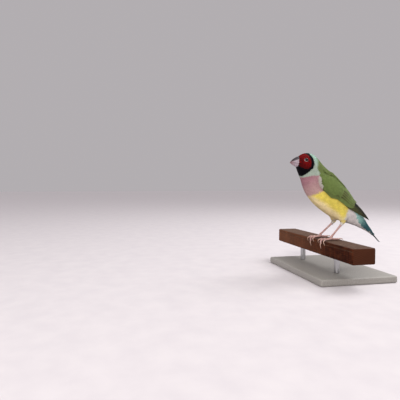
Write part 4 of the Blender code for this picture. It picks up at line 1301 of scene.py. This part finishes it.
class BillBase:
    """The surface of both mandibles near the face, measured forward and round from the ridge."""

    start, girth = 25.5, 14.0

    def half_girth(self, along):
        return np.full(np.shape(along), self.girth)

    def at(self, along, around, lift=0.0):
        forward = self.start + along + 0 * around
        angle = around / self.girth * math.pi
        above = np.cos(angle) > 0
        spots = []
        for rows in (UPPER_BILL, LOWER_BILL):
            at, ridge, mouth, wide = (np.array(column) for column in zip(*rows))
            mouth, wide = np.interp(forward, at, mouth), np.interp(forward, at, wide)
            rise = np.abs(np.interp(forward, at, ridge) - mouth)
            spots.append((mouth + (rise + lift) * np.cos(angle), (wide + lift) * np.sin(angle)))
        height, side = (np.where(above, *pair) for pair in zip(*spots))
        return np.stack([forward, height, side], axis=-1)


def make_bill_fringe():
    """Tiny feathers at the face's edge that point forward over the base of the bill."""
    form = BillBase()
    turns = np.linspace(-1, 1, 150, endpoint=False)
    steps = np.linspace(0.0, 4.4, 45)
    grid = form.at(steps[None, :], turns[:, None] * form.girth)
    t, angle = nearest_on_body(place(grid.reshape(-1, 3)))
    middle = BODY.at_angle(t, np.zeros(len(t))) / 2 + BODY.at_angle(t, np.full(len(t), math.pi)) / 2
    out = np.linalg.norm(grid.reshape(-1, 3) - middle, axis=1)
    out /= np.linalg.norm(BODY.at_angle(t, angle) - middle, axis=1)
    inside = (out.reshape(grid.shape[:2]) < 1.0) & (steps[None, :] < 4.0)
    face_edge = steps[np.where(inside, np.arange(45)[None, :], 0).max(axis=1)]
    share = np.concatenate([turns + random.uniform(-0.006, 0.006, len(turns)) for _ in range(3)])
    along = np.concatenate([face_edge - back for back in (0.85, 0.65, 0.45)])
    along = along + random.uniform(-0.1, 0.1, len(along))
    length = random.uniform(0.75, 1.15, len(along))
    yaw = random.normal(0, 0.22, len(along))
    lifts = (np.full(len(along), 0.16), random.uniform(0.04, 0.2, len(along)))
    points = feather_points(form, along, share, yaw, length, np.full(len(along), 0.42), lifts)
    t, angle = nearest_on_body(place(points[:, 1, 0, 1]))
    base = plumage(np.clip(t, 0.6, 2.2), angle)
    fleck = random.uniform(0, 1, len(along)) < 0.35
    base = np.where(fleck[:, None], mix(BLACK, base, 0.2), base)
    base = base * random.uniform(0.85, 1.05, (len(along), 1))
    colours = base[:, None] * mix(0.9, 1.03, STATIONS)[None, :, None]
    bake = np.stack([0.02 + along / 110, 0.5 + share * 0.46], axis=1)
    piece = feather_mesh("bill_fringe", points, colours, bake, soft_feather)
    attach(piece, "root")


make_bill_fringe()

# Eyes.
# Round dark eyes, nearly black with a deep brown iris, glossy and wet, each in a ring of bare
# pale skin with fine folds.

EYE_RADIUS, EYE_DEPTH = 2.7, 2.15
LID_PAINTED_SHADE, LID_PALE = srgb(70, 40, 42), srgb(176, 146, 142)
# Rows of the lid's rim from the eye out: radius, height, and how deep its folds are.
LID_ROWS = ((1.4, 0.02, 0.0), (1.43, 0.15, 0.0), (1.48, 0.21, 0.005), (1.54, 0.22, 0.01),
            (1.62, 0.16, 0.012), (1.7, 0.03, 0.008), (1.78, -0.15, 0.0))
LID_SIDES = 96
SKIN_GLOW = (0.001, 0.0004, 0.0003)

wet_eye, tree, shader = new_material(
    "wet_eye", 0.14, Coat_Weight=0.25, Coat_Roughness=0.02, Specular_IOR_Level=0.15
)
ring = tree.add("SeparateXYZ", {"Vector": tree.add("UVMap", uv_map="eye").outputs[0]})
fibres = tree.add("TexNoise", {"Scale": 60.0, "Detail": 3.0})
tree.put(tree.add("UVMap", uv_map="eye").outputs[0], fibres.inputs["Vector"])
edge = tree.math("MULTIPLY_ADD", fibres.outputs["Fac"], 0.05, ring.outputs[1])
iris = tree.ramp(
    edge, (0.27, srgb(3, 2, 3)), (0.31, srgb(26, 13, 9)), (0.45, srgb(19, 10, 7)), (0.55, srgb(6, 4, 4))
)
tree.put(iris, shader.inputs["Base Color"])

bare_skin, tree, shader = new_material(
    "lid_skin", 0.5, Subsurface_Weight=0.2, Subsurface_Radius=SKIN_GLOW
)
wrinkle = tree.noise(2600.0, 3.0)
tone = tree.add("Attribute", attribute_name="plumage").outputs["Color"]
folds = tree.ramp(wrinkle.outputs["Fac"], (0.3, 0.7), (0.7, 1.15))
tree.put(tree.blend(1.0, tone, folds, "MULTIPLY"), shader.inputs["Base Color"])
bump(tree, shader, wrinkle.outputs["Fac"], 0.5, 0.0002)

for name, side in (("left", 1), ("right", -1)):
    middle, out = eye_place(side)
    turn = Vector((out[2], -out[0], out[1])).to_track_quat("Z", "Y").to_matrix().to_4x4()
    spot = Matrix.Translation(place(middle)) @ turn
    bm = bmesh.new()
    bmesh.ops.create_uvsphere(bm, u_segments=48, v_segments=32, radius=EYE_RADIUS * MM)
    layer = bm.loops.layers.uv.new("eye")
    for face in bm.faces:
        for corner in face.loops:
            co = corner.vert.co
            from_pupil = math.hypot(co.x, co.y) / (EYE_RADIUS * MM) if co.z > 0 else 1.0
            corner[layer].uv = (math.atan2(co.y, co.x) / math.pi * 2, from_pupil)
    bmesh.ops.translate(bm, verts=bm.verts, vec=(0, 0, -EYE_DEPTH * MM))
    bmesh.ops.transform(bm, matrix=spot, verts=bm.verts)
    eye = object_from(bm, "eyeball_" + name)
    eye.data.materials.append(wet_eye)
    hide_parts("eye_" + name)
    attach(eye, "root")

    bm = bmesh.new()
    turns = np.linspace(0, 2 * math.pi, LID_SIDES, endpoint=False)
    rings = []
    for radius, lift, ripple in LID_ROWS:
        wave = ripple * (np.sin(turns * 29) + 0.6 * np.sin(turns * 43 + 1.0))
        reach = radius * (1 + 0.05 * np.cos(2 * turns) - 0.03 * np.sin(turns))
        rings.append(np.stack([np.cos(turns) * reach, np.sin(turns) * reach, lift + wave], axis=1) * MM)
    # The rim is closed behind itself, inside the head.
    inner, outer = (
        np.stack([np.cos(turns) * radius, np.sin(turns) * radius, np.full(LID_SIDES, lift)], axis=1) * MM
        for radius, lift in ((1.34, -0.5), (2.0, -0.9))
    )
    loops = []
    for ring_points in [inner, *rings, outer]:
        made = bmesh.ops.create_circle(bm, segments=LID_SIDES, radius=MM)["verts"]
        for vert, point in zip(made, ring_points):
            vert.co = point
        loops.append(list({e for v in made for e in v.link_edges}))
    for one, two in zip(loops, loops[1:] + loops[:1]):
        bmesh.ops.bridge_loops(bm, edges=one + two)
    bmesh.ops.transform(bm, matrix=spot, verts=bm.verts)
    lid = object_from(bm, "lids_" + name)
    away = (vertices_of(lid.data) - place(middle)) / MM
    # The ring is painted paler at its lower front and darker at its top and back: painted light and shade.
    pale = ease(-0.45 * away[:, 1] - 0.9 * away[:, 2], -1.2, 1.5)[:, None]
    paint(lid.data, mix(LID_PAINTED_SHADE, LID_PALE, pale))
    lid.data.materials.append(bare_skin)
    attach(lid, "root")

# Legs and feet.
# Bare pink legs in overlapping scales, three toes forward and one back, gripping the bar,
# each with a curved claw of pale horn.

BAR_FRONT, BAR_BACK, BAR_EDGE, GAP = 8.3, -12.0, 1.1, 0.3
FOOT_PAD, FOOT_FORWARD = 1.5, -0.5
# Each toe's heading in degrees, its length, its claw's length, and its radius.
TOES = {
    "inner": (-24.0, 9.8, 3.3, 0.72),
    "middle": (-2.0, 12.6, 3.8, 0.8),
    "outer": (23.0, 10.4, 3.4, 0.72),
    "hind": (176.0, 7.2, 4.2, 0.82),
}


def over_bar(distance, clearance, backwards=False):
    """(forward, height) after walking this far over the bar from the foot's middle, clear of it."""
    sign, edge = (-1, -BAR_BACK) if backwards else (1, BAR_FRONT)
    flat = edge - BAR_EDGE - sign * FOOT_FORWARD
    bend = (BAR_EDGE + clearance) * math.pi / 2
    corner_f, corner_h = edge - BAR_EDGE, -BAR_EDGE
    if distance < flat:
        reach, height = sign * FOOT_FORWARD + distance, clearance
    elif distance < flat + bend:
        angle = (distance - flat) / bend * math.pi / 2
        reach = corner_f + (BAR_EDGE + clearance) * math.sin(angle)
        height = corner_h + (BAR_EDGE + clearance) * math.cos(angle)
    else:
        reach, height = edge + clearance, corner_h - (distance - flat - bend)
    return sign * reach, height


def toe_path(side, heading, start, end, clearances):
    """Points of a toe or claw between two distances from the foot's middle."""
    outwards = math.copysign(1, side)
    backwards = abs(heading) > 90
    turn = math.radians(180 - heading if backwards else heading)
    points = []
    for distance, clearance in zip(np.linspace(start, end, len(clearances)), clearances):
        forward, height = over_bar(distance * math.cos(turn), clearance, backwards)
        points.append((forward, height, side + outwards * distance * math.sin(turn)))
    return points


def scaled_limb(bm, path, radii, scale, depth, sides=20):
    """A round limb along a path, its top stepped into overlapping scales of this length."""
    path, radii = np.array(path), np.array(radii)
    runs = np.concatenate([[0], np.cumsum(np.linalg.norm(np.diff(path, axis=0), axis=1))])
    count = max(8, int(runs[-1] / scale) * 5)
    spots = np.linspace(0, runs[-1], count + 1)
    fine = np.stack([np.interp(spots, runs, path[:, k]) for k in range(3)], axis=1)
    blur = np.array([fine[max(0, i - 2) : i + 3].mean(axis=0) for i in range(len(fine))])
    blur[0], blur[-1] = fine[0], fine[-1]
    wide = np.interp(spots, runs, radii)
    rings = tube_rings(blur, wide, sides)
    step = (spots / scale) % 1.0
    away = rings - blur[:, None]
    turns = np.linspace(0, 2 * math.pi, sides, endpoint=False)
    front = 0.35 + 0.65 * np.maximum(0, np.cos(turns))
    swell = 1 + depth * (step[:, None] - 0.5) * front
    rings = blur[:, None] + away * swell[..., None]
    loft(bm, place(rings))


def ball(bm, centre, radius, segments=24):
    rows = segments * 2 // 3
    made = bmesh.ops.create_uvsphere(bm, u_segments=segments, v_segments=rows, radius=radius * MM)
    bmesh.ops.translate(bm, verts=made["verts"], vec=place(np.array(centre)))


leg_skin, tree, shader = new_material(
    "leg_skin", 0.48, Subsurface_Weight=0.18, Subsurface_Radius=SKIN_GLOW
)
cells = tree.add("TexVoronoi", {"Scale": 1900.0}, feature="DISTANCE_TO_EDGE")
tree.put(tree.add("TexCoord").outputs["Object"], cells.inputs["Vector"])
tone = tree.noise(420.0, 3.0)
pink = tree.ramp(tone.outputs["Fac"], (0.3, srgb(178, 136, 130)), (0.7, srgb(206, 170, 162)))
seams = tree.ramp(cells.outputs["Distance"], (0.0, 0.82), (0.12, 1.0))
tree.put(tree.blend(1.0, pink, seams, "MULTIPLY"), shader.inputs["Base Color"])
bump(tree, shader, cells.outputs["Distance"], 0.35, 0.0002)

claw_horn, tree, shader = new_material("claw_horn", 0.3, Coat_Weight=0.2)
streak = tree.noise(800.0, 2.0)
horny = tree.ramp(streak.outputs["Fac"], (0.3, srgb(172, 132, 116)), (0.7, srgb(214, 182, 162)))
tree.put(horny, shader.inputs["Base Color"])

for name, (hip_side, foot_side) in FEET.items():
    heel = (*HEEL, mix(hip_side, foot_side, HEEL_SHARE))
    ankle = (*ANKLE, foot_side)
    leg_run = [mix(np.array(ankle), np.array(heel), share) for share in (0.0, 0.12, 0.5, 0.86, 1.0)]
    bm = bmesh.new()
    scaled_limb(bm, leg_run, (1.2, 0.88, 0.8, 0.92, 1.08), 1.5, 0.16)
    ball(bm, heel, 1.16)
    leg = object_from(bm, "leg_" + name)
    bm = bmesh.new()
    pad = (FOOT_FORWARD, FOOT_PAD + GAP, foot_side)
    ball(bm, pad, FOOT_PAD)
    bend = mix(np.array(ankle), np.array(heel), -0.07)
    scaled_limb(bm, [pad, bend, ankle], (1.25, 1.15, 1.12), 1.2, 0.1)
    for toe, (heading, length, claw_length, radius) in TOES.items():
        swell = (1.25, 1.12, 0.92, 1.12, 0.9, 1.08, 0.84)
        radii = [radius * s for s in swell]
        path = toe_path(foot_side, heading, 0.6, length, [GAP + r + 0.02 for r in radii])
        scaled_limb(bm, path, radii, 0.95, 0.2, 16)
        claw_radii = [radius * s for s in (0.74, 0.66, 0.54, 0.4, 0.14)]
        clearances = [GAP + r + a for r, a in zip(claw_radii, (0.1, 0.5, 0.75, 0.65, 0.15))]
        clearances[0] = GAP + radii[-1]
        path = toe_path(foot_side, heading, length - 0.3, length + GAP + claw_length, clearances)
        claw_bm = bmesh.new()
        scaled_limb(claw_bm, path, claw_radii, 0.6, 0.0, 16)
        claw = object_from(claw_bm, f"claw_{name}_{toe}_horn")
        claw.data.materials.append(claw_horn)
        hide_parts(f"claw_{name}_{toe}")
        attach(claw, "root")
    foot = object_from(bm, "toes_" + name)
    for piece, node in ((leg, "tarsus_" + name), (foot, "foot_" + name)):
        piece.data.materials.append(leg_skin)
        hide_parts(node)
        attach(piece, "root")

# Bar.
# A sawn length of dark red-brown timber, greyer along its top, paler towards one end, and paler
# along its rounded edges, partly rubbed and partly painted highlight, with upright saw marks down its
# sides.

BAR_LENGTH = 0.142

# Rounded edges turn paler: partly wear, partly painted highlight.
wear_and_highlight, tree, ends_in, ends_out = group_of(
    "edge_wear_and_highlight", {"Radius": 0.0015, "Low": 0.05, "High": 0.35}, ("Worn_and_lit",)
)
bevelled = tree.add("Bevel", samples=6)
tree.put(ends_in.outputs["Radius"], bevelled.inputs["Radius"])
flat = tree.add("NewGeometry").outputs["Normal"]
turned = tree.add("VectorMath", {0: bevelled.outputs[0], 1: flat}, operation="DOT_PRODUCT").outputs["Value"]
rough_edge = tree.noise(350.0, 4.0)
patchy = tree.math("MULTIPLY_ADD", rough_edge.outputs["Fac"], 4.0, -0.6)
worn_and_lit = tree.math("MULTIPLY", tree.math("SUBTRACT", 1.0, turned), patchy)
span = tree.add("MapRange")
for value, socket in ((worn_and_lit, 0), (ends_in.outputs["Low"], 1), (ends_in.outputs["High"], 2)):
    tree.put(value, span.inputs[socket])
tree.put(span.outputs[0], ends_out.inputs["Worn_and_lit"])

timber, tree, shader = new_material("bar_wood", 0.8, Specular_IOR_Level=0.07)
where = tree.add("TexCoord").outputs["Object"]
stretched = tree.add(
    "Mapping", {"Vector": where, "Scale": (0.06, 1.0, 1.0), "Location": (0.0, 0.031, 0.012)}
).outputs[0]
years = tree.add(
    "TexWave", {"Vector": stretched, "Scale": 210.0, "Distortion": 1.2, "Detail": 3.0, "Detail Scale": 0.6},
    wave_type="RINGS", rings_direction="X",
)
grain = tree.add("TexNoise", {"Vector": stretched, "Scale": 2200.0, "Detail": 5.0, "Distortion": 0.3})
upright = tree.add("Mapping", {"Vector": where, "Scale": (1.0, 0.12, 0.12)}).outputs[0]
saw = tree.add("TexNoise", {"Vector": upright, "Scale": 620.0, "Detail": 4.0})
stain = tree.add("TexNoise", {"Vector": where, "Scale": 90.0, "Detail": 4.0, "Roughness": 0.6})
brown = tree.ramp(
    grain.outputs["Fac"], (0.3, srgb(40, 15, 7)), (0.5, srgb(68, 29, 14)), (0.72, srgb(93, 45, 24))
)
ringed = tree.ramp(years.outputs["Fac"], (0.1, 0.72), (0.8, 1.1))
brown = tree.blend(0.8, brown, ringed, "MULTIPLY")
sawn = tree.ramp(saw.outputs["Fac"], (0.42, 0.0), (0.62, 0.6))
brown = tree.blend(sawn, brown, (*srgb(26, 12, 8), 1.0))
stained = tree.ramp(stain.outputs["Fac"], (0.5, 0.0), (0.68, 0.3))
brown = tree.blend(stained, brown, (*srgb(112, 64, 38), 1.0))
along_bar = tree.add("SeparateXYZ", {"Vector": where}).outputs[0]
along_bar = tree.math("MULTIPLY_ADD", along_bar, 1 / BAR_LENGTH, 0.5)
lighter = tree.ramp(along_bar, (0.12, 1.7), (0.5, 1.4), (0.74, 1.0))
brown = tree.blend(1.0, brown, lighter, "MULTIPLY")
faded = tree.ramp(along_bar, (0.12, 0.5), (0.5, 0.28), (0.76, 0.0))
brown = tree.blend(faded, brown, (*srgb(120, 84, 62), 1.0))
facing = tree.add("SeparateXYZ", {"Vector": tree.add("NewGeometry").outputs["Normal"]})
up = facing.outputs[2]
top_grey = tree.ramp(grain.outputs["Fac"], (0.3, srgb(70, 53, 45)), (0.7, srgb(118, 97, 85)))
top_grey = tree.blend(0.6, top_grey, ringed, "MULTIPLY")
colour = tree.blend(tree.ramp(up, (0.55, 0.0), (0.9, 0.85)), brown, top_grey)
end_on = tree.ramp(tree.math("ABSOLUTE", facing.outputs[0]), (0.6, 0.0), (0.9, 1.0))
pores = tree.add("TexNoise", {"Vector": where, "Scale": 2400.0, "Detail": 3.0})
end_grain = tree.ramp(years.outputs["Fac"], (0.1, srgb(62, 33, 21)), (0.9, srgb(78, 43, 27)))
pitted = tree.ramp(pores.outputs["Fac"], (0.3, 0.75), (0.6, 1.05))
end_grain = tree.blend(0.8, end_grain, pitted, "MULTIPLY")
colour = tree.blend(end_on, colour, end_grain)
# The bar's rounded edges are lightened: partly rubbed wear, partly painted highlight.
worn_and_lit = tree.add("Group", node_tree=wear_and_highlight)
colour = tree.blend(tree.math("MULTIPLY", worn_and_lit.outputs[0], 0.4), colour, (*srgb(118, 80, 54), 1.0))
tree.put(colour, shader.inputs["Base Color"])
height = tree.math("ADD", grain.outputs["Fac"], tree.math("MULTIPLY", saw.outputs["Fac"], 1.2))
sideways = tree.math("ABSOLUTE", facing.outputs[0])
along_grain = tree.math("SUBTRACT", 1.0, tree.math("MULTIPLY", sideways, 0.85))
bump(tree, shader, tree.math("MULTIPLY", height, along_grain), 0.5, 0.0004)

low, high = (np.array(corner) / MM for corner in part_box("perch_bar"))
BAR_UNDER = low[2] - high[2]
BAR_RINGS = 90
# How far each end's last rings draw in, and how far they lie from it.
BAR_END = ((0.7, 0.0), (0.25, 0.35), (0.06, 0.9))


def bar_profile():
    """The bar's outline end on: round edges, and a shallow groove below the front top edge."""
    corners = (
        (BAR_FRONT, 0.0, 90), (BAR_BACK, 0.0, 180), (BAR_BACK, BAR_UNDER, 270), (BAR_FRONT, BAR_UNDER, 360)
    )
    outline = []
    for forward, height, end in corners:
        centre_h = height + (-BAR_EDGE if height == 0 else BAR_EDGE)
        centre = np.array([forward - math.copysign(BAR_EDGE, forward), centre_h])
        for turn in np.radians(np.linspace(end - 90, end, 6)):
            outline.append(centre + BAR_EDGE * np.array([math.cos(turn), math.sin(turn)]))
        after = {90: (-6.0, 0.0), 270: (-2.0, BAR_UNDER)}.get(end)
        if after:
            outline.append(np.array(after))
    groove = [(0.0, -3.1), (-0.42, -2.75), (-0.46, -2.45), (0.0, -2.2)]
    front = [(BAR_FRONT, -8.0)] + [(BAR_FRONT + depth, height) for depth, height in groove]
    return np.array(outline + front)


profile = bar_profile()
drawn_in, from_end = np.array(BAR_END).T
length = high[0] - low[0]
spots = np.concatenate([from_end, np.linspace(1.6, length - 1.6, BAR_RINGS), length - from_end[::-1]])
shrink = np.concatenate([drawn_in, np.zeros(BAR_RINGS), drawn_in[::-1]])
middle_of_bar = np.array([(BAR_FRONT + BAR_BACK) / 2, BAR_UNDER / 2])
rings = []
for spot_x, inset in zip(spots, shrink):
    ring = profile - np.sign(profile - middle_of_bar) * inset
    ripple = 0.05 * np.sin(spot_x * np.array([0.9, 0.37])[None] + profile * 0.8) * (inset == 0)
    inward = ring - np.abs(ripple) * np.sign(profile - middle_of_bar)
    rings.append(place(np.column_stack([inward, np.full(len(ring), low[0] + spot_x - BIRD_X)])))
bm = bmesh.new()
loft(bm, rings)
bar = object_from(bm, "bar")
bar.data.set_sharp_from_angle(angle=math.radians(40))
bar.data.materials.append(timber)
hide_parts("perch_bar")
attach(bar, "root")

# Stand.
# A flat base in matte stone-grey lacquer, softly rounded at its edges, and two short brushed
# steel rods let into the bar from below.

lacquer, tree, shader = new_material("stand_lacquer", 0.55, Coat_Weight=0.08)
speckle = tree.noise(1200.0, 3.0)
tone = tree.ramp(speckle.outputs["Fac"], (0.35, srgb(142, 138, 132)), (0.65, srgb(158, 154, 148)))
# The base's rounded edges are lightened the same way: partly wear, partly painted highlight.
worn_and_lit = tree.add("Group", node_tree=wear_and_highlight)
colour = tree.blend(tree.math("MULTIPLY", worn_and_lit.outputs[0], 0.35), tone, (*srgb(186, 182, 176), 1.0))
tree.put(colour, shader.inputs["Base Color"])
bump(tree, shader, speckle.outputs["Fac"], 0.15, 0.0001)

steel, tree, shader = new_material("stand_steel", 0.32, Metallic=1.0)
where = tree.add("TexCoord").outputs["Object"]
brushed = tree.add("Mapping", {"Vector": where, "Scale": (1.0, 1.0, 0.04)}).outputs[0]
lines = tree.add("TexNoise", {"Vector": brushed, "Scale": 3000.0, "Detail": 3.0})
shine = tree.ramp(lines.outputs["Fac"], (0.3, srgb(170, 170, 172)), (0.7, srgb(206, 206, 208)))
tree.put(shine, shader.inputs["Base Color"])
tree.put(tree.ramp(lines.outputs["Fac"], (0.3, 0.26), (0.7, 0.42)), shader.inputs["Roughness"])
bump(tree, shader, lines.outputs["Fac"], 0.15, 0.0001)

for node, material in (("stand_base", lacquer), ("stand_rod_1", steel), ("stand_rod_2", steel)):
    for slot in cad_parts[node].material_slots:
        slot.material = material

# Floor, light and camera.
# A plain pale floor, soft window-like light from the camera's side and above, and the camera
# where the photograph's was: off to the bird's front left, level with its breast.

bm = bmesh.new()
bmesh.ops.create_grid(bm, x_segments=2, y_segments=2, size=4.0)
floor = object_from(bm, "floor")
paper, tree, shader = new_material("floor_paper", 0.9)
fibre = tree.noise(60.0, 3.0)
paper_tone = tree.ramp(fibre.outputs["Fac"], (0.3, srgb(206, 200, 203)), (0.7, srgb(212, 206, 208)))
tree.put(paper_tone, shader.inputs["Base Color"])
floor.data.materials.append(paper)
floor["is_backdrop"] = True


def area_light(name, energy, size, spot, aim, colour=(1.0, 1.0, 1.0)):
    light = bpy.data.lights.new(name, "AREA")
    light.energy, light.size, light.color, light.shape = energy, size, colour, "DISK"
    lamp = bpy.data.objects.new(name, light)
    bpy.context.scene.collection.objects.link(lamp)
    turn = (Vector(aim) - Vector(spot)).to_track_quat("-Z", "Y").to_matrix().to_4x4()
    lamp.matrix_world = Matrix.Translation(spot) @ turn


middle = (0.015, -0.01, 0.07)
area_light("window", 6.4, 0.42, (0.8, -0.6, 0.6), middle, (1.0, 0.98, 0.95))
area_light("back_light", 5.0, 0.5, (-0.1, 0.5, 0.75), middle)
sky = bpy.data.lights.new("sky_light", "SUN")
sky.energy, sky.angle = 0.85, math.radians(60)
sky_light = bpy.data.objects.new("sky_light", sky)
bpy.context.scene.collection.objects.link(sky_light)
sky_light.matrix_world = Vector((0.25, 0.1, 1.0)).to_track_quat("Z", "Y").to_matrix().to_4x4()
world = bpy.data.worlds.new("room")
world.use_nodes = True
world.node_tree.nodes["Background"].inputs["Color"].default_value = (0.56, 0.53, 0.55, 1.0)
world.node_tree.nodes["Background"].inputs["Strength"].default_value = 0.8
bpy.context.scene.world = world
bpy.context.scene.view_settings.view_transform = "Standard"

lens = bpy.data.cameras.new("camera")
lens.sensor_width, lens.lens, lens.clip_start = 36.0, 36.0, 0.005
camera = bpy.data.objects.new("camera", lens)
bpy.context.scene.collection.objects.link(camera)
swing, tilt = math.radians(12.5), math.radians(2.4)
level = Vector((-math.cos(swing), math.sin(swing), 0))
right = Vector((math.sin(swing), math.cos(swing), 0))
ahead = level * math.cos(tilt) - Vector((0, 0, math.sin(tilt)))
above = right.cross(ahead)
spot = Vector((BIRD_X + 333.2, BIRD_Y - 192.2, BAR_TOP + 51.3)) * MM
camera.matrix_world = Matrix.Translation(spot) @ Matrix((right, above, -ahead)).transposed().to_4x4()
bpy.context.scene.camera = camera

visual_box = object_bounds()
rows = [[list(map(float, corner)) for corner in box] for box in (cad_box, visual_box)]
